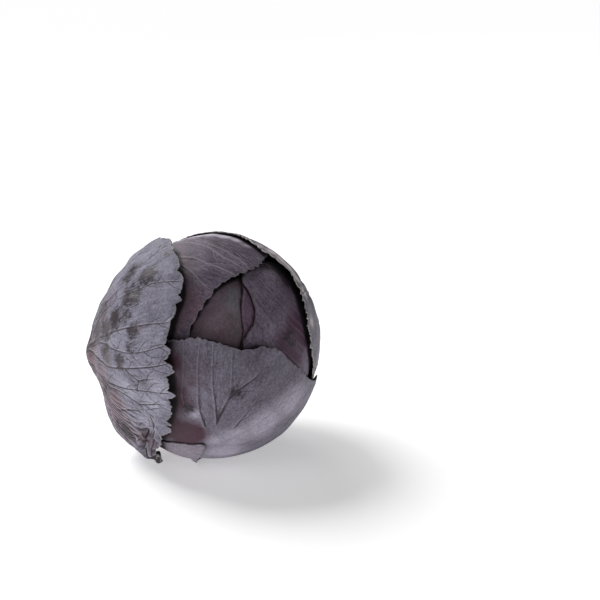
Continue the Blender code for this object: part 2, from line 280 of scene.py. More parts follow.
def painted_shade_by_others(layer, ways):
    """The painted shade of the leaves further out: 1 under another leaf, fading to 0 over a few
    millimetres outside its margin.
    """
    shade_under_others = np.zeros(len(ways))
    for name, leaf in LEAVES.items():
        if leaf["layer"] > layer:
            bearing, arc = bearing_and_arc(leaf["middle"], ways)
            outside = np.radians(arc - through(leaf["edge"], bearing)) * PLAN_RADIUS_MM
            reach = SHADE_REACH_MM.get(name, CLOSE_REACH_MM)
            shade_under_others = np.maximum(shade_under_others, np.exp(-np.maximum(outside, 0) / reach))
    return shade_under_others


# %% [markdown]
# ## The sheet of a leaf
#
# Every leaf starts as a square grid. Pulling the square out to a disc, and the disc out to
# the leaf's outline, gives even cells without a pole in the middle. The grid is then bent
# round the head. The flat plan of the leaf, in millimetres, is kept as its UV map, because
# the veins and the bloom follow the leaf and not the room.

# %% A grid drawn out to the leaf's plan
UV_MM = 200.0


def to_plan(leaf, ways):
    """Directions as millimetres on the leaf's flat plan."""
    bearing, arc = bearing_and_arc(leaf["middle"], ways)
    reach = np.radians(arc) * PLAN_RADIUS_MM
    return np.stack([reach * np.sin(np.radians(bearing)), reach * np.cos(np.radians(bearing))], -1)


def points_of(thing):
    """The points of a mesh object, one row each."""
    points = np.zeros(len(thing.data.vertices) * 3)
    thing.data.vertices.foreach_get("co", points)
    return points.reshape(-1, 3)


def add_grid(name, cells):
    """A grid of the given number of cells each way, and its points."""
    bpy.ops.object.select_all(action="DESELECT")
    bpy.ops.mesh.primitive_grid_add(x_subdivisions=cells, y_subdivisions=cells, size=2)
    sheet = bpy.context.object
    sheet.name = sheet.data.name = name
    return sheet, points_of(sheet)


def disc_of(points):
    """The bearing and the share of the reach for each point of the square grid."""
    x, y = points[:, 0], points[:, 1]
    across, along = x * np.sqrt(1 - y * y / 2), y * np.sqrt(1 - x * x / 2)
    return np.degrees(np.arctan2(across, along)), np.hypot(across, along)


# %% [markdown]
# A cabbage leaf's margin is torn into pointed teeth of uneven size, with small nicks between
# them. One function draws teeth of random width, height and lean round the margin, and a
# second, finer run of it makes the nicks. The draw is seeded, so each run gives the same leaf.

# %% Teeth round a margin
FULL_TURN = 360.0
TEETH_STOP_DEG = 125.0
TEETH_FADE_DEG = 20.0
SWELL_POWER, DROP_POWER = 2.6, 0.65
TEETH_LEVEL, NICK_LEVEL = 0.45, 0.4
NICKS_A_TOOTH = 4.3
MARGIN_POWER = 9


def teeth(bearing, pitch_deg, seed):
    """A torn margin between 0 and 1 at each bearing: a tooth swells out, then drops off."""
    draw = random.Random(seed)
    widths = [draw.uniform(0.4, 1.9) for _ in range(round(FULL_TURN / pitch_deg))]
    ends = np.cumsum([0.0, *widths]) * FULL_TURN / sum(widths)
    heights = np.array([draw.uniform(0.3, 1.0) for _ in widths])
    tips = np.array([draw.uniform(0.4, 0.85) for _ in widths])
    place = np.mod(bearing, FULL_TURN)
    which = np.clip(np.searchsorted(ends, place, side="right") - 1, 0, len(widths) - 1)
    t, tip = (place - ends[which]) / (ends[which + 1] - ends[which]), tips[which]
    swelling = 1 - (1 - np.clip(t / tip, 0, 1)) ** SWELL_POWER
    falling = np.clip((1 - t) / (1 - tip), 0, 1) ** DROP_POWER
    return heights[which] * np.where(t < tip, swelling, falling)


def torn_margin(leaf, bearing, share):
    """How far the torn margin moves a point, in degrees of arc."""
    coarse = teeth(bearing, leaf["pitch"], leaf["seed"]) - TEETH_LEVEL
    fine = teeth(bearing, leaf["pitch"] / NICKS_A_TOOTH, leaf["seed"] + 50) - NICK_LEVEL
    fade = smooth_rise((TEETH_STOP_DEG - np.abs(bearing)) / TEETH_FADE_DEG)
    swell = through(leaf["swell"], bearing) if "swell" in leaf else 1.0
    return (coarse * leaf["tooth"] + fine * leaf["nick"]) * swell * fade * share ** MARGIN_POWER


# %% [markdown]
# ## Veins
#
# The main veins are drawn through a few listed places each, base first. From them a rule grows side
# branches that stop just before they would cross another vein. For every point of a sheet we then need
# the distance to the nearest vein, with a sign that tells the side. A signed distance stays sharp when
# Blender interpolates it between points, so the lines can be thinner than the grid's cells.

# %% Vein lines
VEIN_STEP_MM = 1.6


class Vein:
    """A line on the leaf's plan, with its half width and its tone at each point."""

    def __init__(self, points, half, tone):
        knots = np.array(points, float)
        first, last = 2 * knots[0] - knots[1], 2 * knots[-1] - knots[-2]
        rows = np.vstack([first, knots, last])
        run = np.concatenate([[0], np.cumsum(np.hypot(*np.diff(rows, axis=0).T))])
        count = max(2, round((run[-2] - run[1]) / VEIN_STEP_MM))
        place = np.linspace(run[1], run[-2] - 1e-6, count + 1)
        table = np.column_stack([run, rows])
        self.points = np.column_stack([through(table, place, 1), through(table, place, 2)])
        self.half = np.linspace(half[0], half[1], count + 1)
        self.tone = np.linspace(tone[0], tone[1], count + 1)


def vein_through(leaf, places, half, tone):
    """A vein through (polar angle, turn) places."""
    angles = np.array(places, float)
    return Vein(to_plan(leaf, direction(angles[:, 0], angles[:, 1])), half, tone)


def vein_fan(leaf, start, bearings, arcs, bend, half, tone):
    """Veins that spread from one place and bend back towards the middle one."""
    veins = []
    for bearing in bearings:
        arc = np.linspace(arcs[0], arcs[1], 7)
        turned = bearing * (1 + bend * (1 - (arc - arcs[0]) / (arcs[1] - arcs[0])))
        ways = step_from(way_to(start), turned, arc)
        veins.append(Vein(to_plan(leaf, ways), half, tone))
    return veins


def vein_round(leaf, axis, latitude, span, half, tone):
    """A vein along a circle of latitude about an axis, between two angles from the stem's side."""
    pole = way_to(axis)
    away, aside = compass(pole)
    angle = np.radians(np.linspace(*span, 9))[:, None]
    level = math.radians(latitude)
    ways = math.sin(level) * pole + math.cos(level) * (np.cos(angle) * away + np.sin(angle) * aside)
    return Vein(to_plan(leaf, ways), half, tone)


# %% Branches grown by rule
BRANCH_STEPS = 8


def branches_of(veins, draw, spacing, length, angle_deg, half, keep_off):
    """Side branches of the veins, to the left and to the right in turn."""
    grown = []
    crowd = np.vstack([vein.points for vein in veins])
    owner = np.concatenate([np.full(len(vein.points), i) for i, vein in enumerate(veins)])
    for number, vein in enumerate(veins):
        walked, side = draw.uniform(0.3, 1.0) * spacing, draw.choice([-1, 1])
        other = crowd[owner != number]
        while walked < (len(vein.points) - 2) * VEIN_STEP_MM:
            index = int(walked / VEIN_STEP_MM)
            ahead = vein.points[index + 1] - vein.points[index]
            heading = math.atan2(ahead[1], ahead[0]) + side * math.radians(draw.gauss(angle_deg, 9))
            curl = -side * math.radians(draw.uniform(0, 5))
            place, path = vein.points[index], [vein.points[index]]
            step = length * draw.uniform(0.45, 1.3) / BRANCH_STEPS
            for _ in range(BRANCH_STEPS):
                heading += curl + math.radians(draw.gauss(0, 7))
                place = place + step * np.array([math.cos(heading), math.sin(heading)])
                if len(other) and np.hypot(*(other - place).T).min() < keep_off:
                    break
                path.append(place)
            if len(path) > 2:
                grown.append(Vein(path, half, (vein.tone[index], vein.tone[index])))
            walked += spacing * draw.uniform(0.5, 1.5)
            side = -side
    return grown


# %% Distances to veins
FAR_MM = 9.0
THIN_MM = 0.2


def measure(points, veins):
    """For each point: its signed and unsigned distance to the nearest vein in mm, and that vein's
    half width and tone there."""
    count = len(points)
    edge, signed, plain = np.full(count, FAR_MM), np.full(count, FAR_MM), np.full(count, FAR_MM)
    half, tone = np.full(count, THIN_MM), np.zeros(count)
    for vein in veins:
        low, high = vein.points.min(0) - FAR_MM, vein.points.max(0) + FAR_MM
        near = np.nonzero(((points > low) & (points < high)).all(1))[0]
        for i in range(len(vein.points) - 1):
            start, run = vein.points[i], vein.points[i + 1] - vein.points[i]
            offset = points[near] - start
            along = np.clip(offset @ run / (run @ run), 0, 1)
            gap = offset - along[:, None] * run
            distance = np.hypot(gap[:, 0], gap[:, 1])
            width = vein.half[i] + along * (vein.half[i + 1] - vein.half[i])
            closer = distance - width < edge[near]
            chosen, side = near[closer], np.sign(run[0] * offset[:, 1] - run[1] * offset[:, 0])
            edge[chosen] = (distance - width)[closer]
            signed[chosen], plain[chosen] = (side * distance)[closer], distance[closer]
            half[chosen] = width[closer]
            tone[chosen] = (vein.tone[i] + along * (vein.tone[i + 1] - vein.tone[i]))[closer]
    return signed, plain, half, tone


# %% [markdown]
# ## Relief
#
# Between its veins a cabbage leaf swells a little, like a quilt, and the veins lie in the
# valleys. The whole head is also slightly uneven, and since all layers share that
# unevenness, they never cut through each other. Deep relief is allowed only where a leaf is
# laid bare.

# %% Uneven ground
def ripples(ways, wavelength_mm, seed):
    """A smooth random height between about -1 and 1, the same at the same place."""
    draw = np.random.default_rng(seed)
    total = np.zeros(len(ways))
    waves = 14
    for _ in range(waves):
        axis = draw.normal(size=3)
        axis *= 2 * math.pi * PLAN_RADIUS_MM / wavelength_mm / np.linalg.norm(axis)
        total += np.sin(ways @ axis + draw.uniform(0, 2 * math.pi))
    return total / math.sqrt(waves / 2)


HEAD_UNEVEN_MM, HEAD_WAVE_MM = 0.45, 62.0
REST_FADE_FROM, REST_FADE_TO = -0.95, -0.80
STUMP_FADE_DEG = 20.0


def shared_ground(ways):
    """The unevenness that all the layers share, in millimetres."""
    fade = smooth_rise((ways[:, 2] - REST_FADE_FROM) / (REST_FADE_TO - REST_FADE_FROM))
    fade = fade * smooth_rise((polar_and_turn(ways)[0] - BASE_CLEAR_DEG) / STUMP_FADE_DEG)
    return HEAD_UNEVEN_MM * ripples(ways, HEAD_WAVE_MM, 11) * fade


# %% Stand-off of margins and loose places
STAND_FROM = 0.62
RUFFLE_FROM = 0.86
FULL_RUFFLE_STAND_MM = 1.5


def ruffles(bearing, seed):
    """Waves round a margin, between 0 and 1."""
    draw = random.Random(seed)
    total = sum(draw.uniform(0.4, 1.0) * np.sin(np.radians(turns * bearing) + draw.uniform(0, 6.28))
                for turns in (7, 13, 19, 31))
    return 0.5 + 0.25 * total


def plain_lift(leaf, ways):
    """The lift of the leaf as a whole, in millimetres: its stand-off and its bulges."""
    bearing, arc = bearing_and_arc(leaf["middle"], ways)
    share = arc / through(leaf["edge"], bearing)
    lift = through(leaf["edge"], bearing, 2) * smooth_rise((share - STAND_FROM) / (1 - STAND_FROM))
    for polar, turn, height, spread in leaf["bulges"]:
        lift = lift + height * np.exp(-((arc_from(way_to((polar, turn)), ways) / spread) ** 2))
    return lift


# %% [markdown]
# Rubbed, blushed, creased and crumpled places are soft spots at chosen places on the leaf. They
# only say where a mark may be. The material breaks them up with noise. Creases spread from the
# leaf's fan, a few degrees apart, and a signed wave across them keeps their lines sharp.

# %% Soft spots
def spots(ways, places):
    """The strongest soft spot at each direction. A spot is (polar, turn, radius, strength), with
    angles in degrees."""
    total = np.zeros(len(ways))
    for polar, turn, radius, strength in places:
        apart = arc_from(way_to((polar, turn)), ways)
        total = np.maximum(total, strength * np.exp(-((apart / radius) ** 2)))
    return total


FOLD_DEG = 4.2
FOLD_MM, FOLD_POWER = 0.75, 0.7
CRUMPLE_MM, CRUMPLE_WAVE_MM = 2.0, 7.5


def folds(bearing, arc, seed):
    """A wave across a fan's creases, which is 0 in each valley."""
    drift = 0.45 * np.sin(bearing / 13 + seed) + 0.4 * np.sin(arc / 15 + bearing / 9 + 2 * seed)
    return np.sin(math.pi * (bearing / FOLD_DEG + drift))


# %% [markdown]
# All of this adds up to one lift over the layer's radius. The relief is pressed flat under
# other leaves and calms down at the margin, and there the ruffles take over where the margin
# stands off.

# %% The lift of a leaf
QUILT_LEVEL = 0.6
FINE_QUILT_WIDTH_MM, FINE_QUILT_SHARE = 1.5, 0.35
RIDGE_HALVES, RIDGE_MM = 1.3, 0.25
PUCKER_WAVE_MM = 17.0
COVERED_RELIEF = 0.25
CALM_END, CALM_SPAN = 1.02, 0.06


def quilted(distance, width, height):
    """The swelling between veins: low within a width of a vein, and high further off."""
    return height * (1 - np.exp(-((distance / width) ** 2)) - QUILT_LEVEL)


def relief_of(leaf, ways, plain, half, fine_plain, fold, creased):
    """The relief of a leaf where nothing presses on it, in millimetres."""
    relief = quilted(plain, leaf["quilt_width"], leaf["quilt"])
    relief += leaf["ridge"] * np.exp(-((plain / (RIDGE_HALVES * half + RIDGE_MM)) ** 2))
    relief += quilted(fine_plain, FINE_QUILT_WIDTH_MM, FINE_QUILT_SHARE * leaf["quilt"])
    relief += leaf["pucker"] * ripples(ways, PUCKER_WAVE_MM, leaf["seed"])
    relief += FOLD_MM * creased * (np.abs(fold) ** FOLD_POWER - QUILT_LEVEL)
    crumpled = spots(ways, leaf.get("crumpled", []))
    return relief + CRUMPLE_MM * crumpled * ripples(ways, CRUMPLE_WAVE_MM, leaf["seed"] + 5)


def lift_of(leaf, ways, bearing, share, bare, relief):
    """The lift of a leaf's points over its layer, in millimetres."""
    lift = plain_lift(leaf, ways) + shared_ground(ways)
    allowed = COVERED_RELIEF + (1 - COVERED_RELIEF) * bare
    lift += relief * allowed * smooth_rise((CALM_END - share) / CALM_SPAN)
    ruffle = ruffles(bearing, leaf["seed"]) * smooth_rise((share - RUFFLE_FROM) / (1 - RUFFLE_FROM))
    stand = through(leaf["edge"], bearing, 2)
    return lift + leaf["ruffle"] * ruffle * bare * np.clip(stand / FULL_RUFFLE_STAND_MM, 0, 1)


# %% [markdown]
# ## What the material reads
#
# A material can't measure where a vein or a margin is, so the sheet carries that as named
# numbers on its points. Blender calls them attributes. A vein's distances are given in its
# half widths, so that one mask fits thick and thin veins.

# %% Numbers on the points
FAR_HALVES = 20


def in_halves(distance, half):
    """A distance from a vein in half widths of that vein, cut off far away."""
    return np.clip(distance / half, -FAR_HALVES, FAR_HALVES)


def store(thing, marks):
    """Keeps named numbers for each point of a mesh, for the material to read."""
    for name, values in marks.items():
        kept = thing.data.attributes.new(name, "FLOAT", "POINT")
        kept.data.foreach_set("value", np.asarray(values, np.float32))


def write_plan(sheet, plan):
    """The leaf's plan as its UV map."""
    layer = sheet.data.uv_layers[0] if sheet.data.uv_layers else sheet.data.uv_layers.new()
    layer.name = "plan"
    corners = np.zeros(len(sheet.data.loops), np.int32)
    sheet.data.loops.foreach_get("vertex_index", corners)
    layer.data.foreach_set("uv", (plan[corners] / UV_MM + 0.5).astype(np.float32).ravel())


# %% [markdown]
# ## Making a leaf
#
# This puts the steps together: grid, torn margin, wrap, lift, and the numbers for the
# material. A Solidify modifier then gives the sheet its wall, inwards, so the outer face stays
# where the plain model has it.

# %% The wall
LEAF_WALL = 0.0006


def give_wall(sheet):
    """Thickens a sheet inwards and shades it smooth."""
    bpy.ops.object.select_all(action="DESELECT")
    sheet.select_set(True)
    bpy.context.view_layer.objects.active = sheet
    bpy.ops.object.shade_smooth()
    wall = sheet.modifiers.new("wall", "SOLIDIFY")
    wall.thickness = LEAF_WALL
    wall.offset = -1
    bpy.ops.object.modifier_apply(modifier=wall.name)


# %% One leaf
BASE_END_DEG, BASE_FADE_DEG = 34, 18
FLOW_SQUEEZE = 0.9


def make_leaf(name, cells, veins, fine, finish):
    """A leaf's sheet with its veins, relief and wall."""
    leaf = LEAVES[name]
    sheet, points = add_grid(name + "_blade", cells)
    bearing, share = disc_of(points)
    reach = through(leaf["edge"], bearing)
    arc = share * reach + torn_margin(leaf, bearing, share)
    ways = clear_of_stump(step_from(leaf["middle"], bearing, arc))
    plan = to_plan(leaf, ways)
    signed, plain, half, tone = measure(plan, veins)
    fine_signed, fine_plain, fine_half, _ = measure(plan, fine)
    fan_bearing, fan_arc = bearing_and_arc(way_to(leaf["fan"]), ways)
    fold, creased = folds(fan_bearing, fan_arc, leaf["seed"]), spots(ways, leaf.get("creased", []))
    bare = laid_bare(leaf["layer"], ways)
    relief = relief_of(leaf, ways, plain, half, fine_plain, fold, creased)
    lift = lift_of(leaf, ways, bearing, share, bare, relief)
    sheet.data.vertices.foreach_set("co", on_head(ways, leaf["layer"], lift / 1000, bare).ravel())
    store(sheet, {
        "vein": in_halves(signed, half),
        "vein_near": in_halves(plain, half),
        "vein_tone": tone,
        "fine": in_halves(fine_signed, fine_half),
        "fine_near": in_halves(fine_plain, fine_half),
        "margin": (1 - share) * np.radians(reach) * PLAN_RADIUS_MM,
        "shade_under_others": painted_shade_by_others(leaf["layer"], ways),
        "rub": spots(ways, leaf.get("rubbed", [])),
        "blush": spots(ways, leaf.get("blushed", [])),
        "frost": spots(ways, leaf.get("frosted", [])),
        "stem_end": smooth_rise((BASE_END_DEG - polar_and_turn(ways)[0]) / BASE_FADE_DEG),
        "fold": fold,
        "creased": creased,
        "flow_across": fan_bearing * FLOW_SQUEEZE,
        "flow_along": np.radians(fan_arc) * PLAN_RADIUS_MM,
    })
    write_plan(sheet, plan)
    give_wall(sheet)
    sheet.data.materials.clear()
    sheet.data.materials.append(finish)
    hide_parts(name)
    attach(sheet, "root")
    print(name, len(sheet.data.polygons), "faces,", len(veins), "veins,", len(fine), "branches")


# %% [markdown]
# ## Shader sums as Python
#
# A material is a sum of masks. Written as nodes it takes a page, and written as Python it
# takes a line. `Wire` stands for one output socket and turns +, -, * and / into Math nodes.
# `Paint` adds any other node in one call.

# %% Wires and paint
class Wire:
    """An output socket of a material, which can be used in sums."""

    def __init__(self, paint, socket):
        self.paint, self.socket = paint, socket

    def __add__(self, other):
        return self.paint.math("ADD", self, other)

    def __sub__(self, other):
        return self.paint.math("SUBTRACT", self, other)

    def __rsub__(self, other):
        return self.paint.math("SUBTRACT", other, self)

    def __mul__(self, other):
        return self.paint.math("MULTIPLY", self, other)

    def __truediv__(self, other):
        return self.paint.math("DIVIDE", self, other)

    def __abs__(self):
        return self.paint.add("ShaderNodeMath", {"operation": "ABSOLUTE"}, {0: self})

    __radd__ = __add__
    __rmul__ = __mul__

    def clear(self, low, high):
        """A smooth step: 0 at low and 1 at high, or the other way round."""
        start, end = (0.0, 1.0) if low < high else (1.0, 0.0)
        sockets = {0: self, 1: min(low, high), 2: max(low, high), 3: start, 4: end}
        return self.paint.add("ShaderNodeMapRange", {"interpolation_type": "SMOOTHSTEP"}, sockets)


class Paint:
    """A material under construction, with its Principled shader."""

    def __init__(self, name):
        self.material = bpy.data.materials.new(name)
        self.material.use_nodes = True
        self.tree = self.material.node_tree
        self.shader = self.tree.nodes["Principled BSDF"]

    def add(self, kind, settings, sockets, output=0):
        """Any node: its settings first, then the values or wires of its sockets."""
        node = self.tree.nodes.new(kind)
        for key, value in settings.items():
            setattr(node, key, value)
        for key, value in sockets.items():
            if isinstance(value, Wire):
                self.tree.links.new(value.socket, node.inputs[key])
            else:
                node.inputs[key].default_value = value
        return Wire(self, node.outputs[output])

    def math(self, operation, first, second):
        return self.add("ShaderNodeMath", {"operation": operation}, {0: first, 1: second})

    def attribute(self, name):
        return self.add("ShaderNodeAttribute", {"attribute_name": name}, {}, "Fac")

    def noise(self, place, scale, detail=3.0, rough=0.55, warp=0.0):
        sockets = {"Vector": place, "Scale": scale, "Detail": detail, "Roughness": rough,
                   "Distortion": warp}
        return self.add("ShaderNodeTexNoise", {}, sockets, "Fac")

    def vectors(self, operation, sockets, output=0):
        return self.add("ShaderNodeVectorMath", {"operation": operation}, sockets, output)

    def cells(self, place, scale, kind, rand=1.0):
        sockets = {"Vector": place, "Scale": scale, "Randomness": rand}
        return self.add("ShaderNodeTexVoronoi", {"feature": kind}, sockets, "Distance")

    def colours(self, factor, first, second, kind="MIX"):
        settings = {"data_type": "RGBA", "blend_type": kind}
        return self.add("ShaderNodeMix", settings, {0: factor, 6: first, 7: second}, 2)

    def feed(self, name, wire):
        """Links a wire to a socket of the shader."""
        self.tree.links.new(wire.socket, self.shader.inputs[name])

    def hold(self, values):
        """Sets sockets of the shader to fixed values."""
        for name, value in values.items():
            self.shader.inputs[name].default_value = value

    def bumps(self, height, strength, depth):
        """Bumps the surface by a height."""
        sockets = {"Strength": strength, "Distance": depth, "Height": height}
        self.feed("Normal", self.add("ShaderNodeBump", {}, sockets))


# %% [markdown]
# ## The finish of a leaf
#
# A red cabbage leaf is dark purple under a coat of pale blue-grey wax, the bloom. All leaves
# share one recipe, and each has its own colours and strengths. Some noises are used in several
# steps of it, so a leaf's paint starts with them: wide clouds, fine grain, and fibres that
# follow the leaf's fan of veins.

# %% A leaf's paint
def colour(red, green, blue):
    """A colour for a socket."""
    return (red, green, blue, 1.0)


DEEP = colour(0.030, 0.020, 0.028)
# This near-black is the painted shadow right beside the margins of covering leaves.
PAINTED_SHADOW = colour(0.008, 0.005, 0.008)
BARE_BASE = colour(0.42, 0.36, 0.40)


class LeafPaint(Paint):
    """The paint of a leaf, with its colours and the noises that its steps share."""

    def __init__(self, name, **tones):
        super().__init__(name)
        self.tones = {key: colour(*tone) for key, tone in tones.items()}
        self.place = self.add("ShaderNodeTexCoord", {}, {}, "Object")
        self.plan = self.add("ShaderNodeUVMap", {"uv_map": "plan"}, {})
        across, along = self.attribute("flow_across"), self.attribute("flow_along")
        self.flow = self.add("ShaderNodeCombineXYZ", {}, {0: across * 0.16, 1: along * 0.022, 2: 0.0})
        self.clouds = self.noise(self.place, 48.0, 4.0)
        self.grain = self.noise(self.place, 560.0, 4.0, 0.7)
        self.fibre = self.noise(self.flow, 6.0, 5.0, 0.62, 0.3)
        self.broken = self.noise(self.place, 160.0, 2.0).clear(0.25, 0.5)


# %% [markdown]
# The bloom covers the skin unevenly, in clouds and grain. Streaks follow the fibres. Frosted places are
# painted pale: partly thick bloom, and partly painted light, such as a painted highlight along the top
# leaf and light from the floor painted on the leaves' lower parts. Blushed places have hardly any
# bloom. In the end the grain makes all of it a little lighter or darker, by a multiplying mix.

# %% Bloom over skin
def waxy_skin(paint, cover, streak):
    """The colour of the bloom over the skin, and where the bloom lies."""
    tones, clouds, grain, fibre = paint.tones, paint.clouds, paint.grain, paint.fibre
    waxed = (clouds * 1.6 + grain * 1.5 + fibre * 0.3 - (1.70 - cover)).clear(0.0, 1.0)
    shade = paint.colours(waxed, tones["skin"], tones["bloom"])
    shade = paint.colours((fibre + clouds * 0.3).clear(0.60, 0.95) * streak, shade, tones["pale"])
    shade = paint.colours(fibre.clear(0.50, 0.25) * streak * 0.6, shade, tones["skin"])
    # Frosted places: thick pale bloom, together with painted highlights and painted light from the
    # floor.
    frosted = paint.attribute("frost") * (clouds * 0.6 + fibre * 0.9)
    shade = paint.colours(frosted.clear(0.1, 1.0), shade, tones["frost"])
    blushed = paint.attribute("blush") * (paint.noise(paint.place, 95.0, 4.0) * 1.4 + 0.3)
    shade = paint.colours(blushed.clear(0.12, 0.85), shade, tones["blush"])
    return paint.colours(1.0, shade, grain * 1.5 + 0.25, "MULTIPLY"), waxed


# %% [markdown]
# The smallest veins make a fine net. Voronoi cells measured to their edges give such a net,
# and a little noise in the place bends its threads. Two sizes are laid over each other.

# %% The net of small veins
def vein_net(paint, shade, net):
    """The colour with the net on it, and the net."""
    wave = {"Vector": paint.plan, "Scale": 34.0, "Detail": 4.0}
    bent = {0: 0.055, 4: paint.plan, 5: paint.add("ShaderNodeTexNoise", {}, wave, "Color")}
    warped = paint.add("ShaderNodeMix", {"data_type": "VECTOR"}, bent, 1)
    wide = paint.cells(warped, 34.0, "DISTANCE_TO_EDGE", 0.8).clear(0.085, 0.0)
    narrow = paint.cells(warped, 92.0, "DISTANCE_TO_EDGE", 0.8).clear(0.14, 0.0)
    patchy = paint.noise(paint.place, 60.0, 2.0).clear(0.35, 0.65)
    netted = (wide * 0.6 + narrow * 0.4) * (patchy * 0.85 + 0.15) * net
    return paint.colours(netted, shade, DEEP), netted


# %% [markdown]
# The veins that the sheet carries are lines where the signed distance crosses zero. A second
# mask from the plain distance keeps away the false lines where the sign flips between two
# veins. A vein's tone below 0 makes it dark with a lit side, and above 0 pale with bloom.

# %% Vein lines
def vein_lines(paint, shade):
    """The colour with the veins on it, the main veins' lines and the branches' lines."""
    pale, broken = paint.tones["pale"], paint.broken
    vein, near, tone = (paint.attribute(name) for name in ("vein", "vein_near", "vein_tone"))
    core = abs(vein).clear(1.5, 0.45) * near.clear(4.5, 2.5)
    lit_side = vein.clear(0.6, 1.8) * vein.clear(4.5, 2.0) * near.clear(6.0, 3.5)
    fine, fine_near = paint.attribute("fine"), paint.attribute("fine_near")
    fine_core = abs(fine).clear(2.0, 0.4) * fine_near.clear(7.0, 4.0)
    dark_veins, pale_veins = (0.0 - tone).clear(0.0, 1.0), tone.clear(0.0, 1.0)
    shade = paint.colours(fine_core * broken * (dark_veins * 0.75 + 0.12), shade, DEEP)
    shade = paint.colours(fine_core * pale_veins * 0.35, shade, pale)
    shade = paint.colours(lit_side * 0.3, shade, pale)
    shade = paint.colours(core * pale_veins * (broken * 0.35 + 0.35), shade, pale)
    return paint.colours(core * dark_veins * (broken * 0.25 + 0.75), shade, DEEP), core, fine_core


# %% [markdown]
# Creases get painted shade in their valleys and painted light on their backs. Rubbed places lose their
# bloom first and then turn dark in flecks that follow the fibres. A few dark dots lie anywhere.

# %% Creases and rubbed places
def creases(paint, shade):
    """The colour with painted shade in the creases' valleys and painted light on their backs, and the
    valleys.
    """
    creased, fold = paint.attribute("creased"), abs(paint.attribute("fold"))
    shaded_valley = fold.clear(0.62, 0.10) * creased * (paint.broken * 0.5 + 0.4)
    # Painted light on the creases' backs, and painted shade in their valleys.
    shade = paint.colours(fold.clear(0.75, 1.0) * creased * 0.35, shade, paint.tones["pale"])
    return paint.colours(shaded_valley * 0.95, shade, DEEP), shaded_valley


def rubbed_places(paint, shade):
    """The colour with rubbed blotches and dots on it, and the blotches."""
    flecks = paint.noise(paint.flow, 8.0, 6.0, 0.74, 0.5)
    blots = paint.noise(paint.place, 190.0, 6.0, 0.76)
    rub = paint.attribute("rub")
    shade = paint.colours(rub.clear(0.15, 0.9) * 0.55, shade, paint.tones["skin"])
    scuffs = flecks * 0.8 + blots * 0.75 + rub * 0.3
    rubbed = (scuffs.clear(0.90, 0.99) * 0.8 + scuffs.clear(0.80, 1.1) * 0.35) * rub.clear(0.05, 0.4)
    shade = paint.colours(rubbed * 0.92, shade, DEEP)
    patchy = paint.noise(paint.place, 70.0).clear(0.56, 0.66)
    dots = paint.cells(paint.place, 260.0, "F1").clear(0.22, 0.1) * patchy
    return paint.colours(dots * 0.45, shade, DEEP), rubbed


# %% [markdown]
# Under its neighbours a leaf never greened, so it turns reddish, and painted shade darkens it towards
# them, down to a near-black painted shadow at their margins.
# The margin is dry and pale, and at the stem end the thick base is bare of bloom. The last
# function puts all the steps together and adds the height for the bumps.

# %% The whole finish
def ends_of_leaf(paint, shade):
    """The colour with painted shade where a leaf goes under others, and at its margin and at its base.
    """
    shade_under_others = paint.attribute("shade_under_others")
    # Painted shade: towards covering leaves the colour turns to the leaf's own blush tone, then to the
    # near-black painted shadow.
    blush_and_shade = (shade_under_others * (0.55 + paint.clouds * 0.7)).clear(0.15, 0.95) * 0.85
    shade = paint.colours(blush_and_shade, shade, paint.tones["blush"])
    shade = paint.colours(shade_under_others.clear(0.45, 0.95) * 0.95, shade, PAINTED_SHADOW)
    dry = paint.attribute("margin").clear(1.6, 0.2) * (paint.grain * 0.9 + 0.35)
    shade = paint.colours(dry.clear(0.1, 1.0), shade, paint.tones["edge"])
    return paint.colours(paint.attribute("stem_end") * (0.45 + paint.fibre * 0.5), shade, BARE_BASE)


def leaf_finish(name, cover, streak, net, rough, **tones):
    """A waxy leaf. The tones are bloom, skin, blush, pale, edge and the frost tone, the pale of thick
    bloom and of painted light.
    """
    paint = LeafPaint(name, **tones)
    shade, waxed = waxy_skin(paint, cover, streak)
    shade, netted = vein_net(paint, shade, net)
    shade, core, fine_core = vein_lines(paint, shade)
    shade, shaded_valley = creases(paint, shade)
    shade, rubbed = rubbed_places(paint, shade)
    paint.feed("Base Color", ends_of_leaf(paint, shade))
    paint.feed("Roughness", rough + waxed * 0.16 - rubbed * 0.1 + paint.grain * 0.1)
    height = (core * 0.9 - (1.0 - core) * netted * 0.3 + fine_core * 0.35 + paint.fibre * 0.45
              + paint.grain * 0.12 - rubbed * 0.12 + paint.clouds * 0.3 - shaded_valley * 0.5)
    paint.bumps(height, 0.85, 0.0006)
    paint.hold({"Specular IOR Level": 0.3, "Sheen Weight": 0.06, "Sheen Roughness": 0.5})
    return paint.material


# %% [markdown]
# ## Inner leaf
#
# Only a narrow strip of the innermost separate leaf shows, beside the crown leaf. It is dark
# and reddish. It gets the same treatment with a coarser grid.

# %% Inner leaf
LEAVES["inner_leaf"].update(
    seed=3, pitch=5.5, tooth=0.5, nick=0.3, quilt=0.2, quilt_width=3.0, ridge=0.15, pucker=0.1,
    ruffle=0.1, fan=(60, 200))
leaf = LEAVES["inner_leaf"]
inner_veins = vein_fan(leaf, (60, 200), range(-56, 57, 14), (4, 168), 0.15, (0.5, 0.25), (0.4, 0.4))
inner_fine = branches_of(inner_veins, random.Random(31), 9.0, 14.0, 38, (0.2, 0.1), 1.2)
inner_finish = leaf_finish(
    "inner_leaf_finish", cover=0.5, streak=0.4, net=0.2, rough=0.45,
    bloom=(0.190, 0.122, 0.190), skin=(0.108, 0.060, 0.098), blush=(0.15, 0.07, 0.10),
    pale=(0.26, 0.19, 0.26), edge=(0.04, 0.02, 0.03), frost=(0.3, 0.25, 0.3))
make_leaf("inner_leaf", 100, inner_veins, inner_fine, inner_finish)

# %% [markdown]
# ## Crown leaf
#
# This leaf comes up from below, over the crown. Its veins run nearly side by side and show as
# pale streaks, because we see them far from where they part.

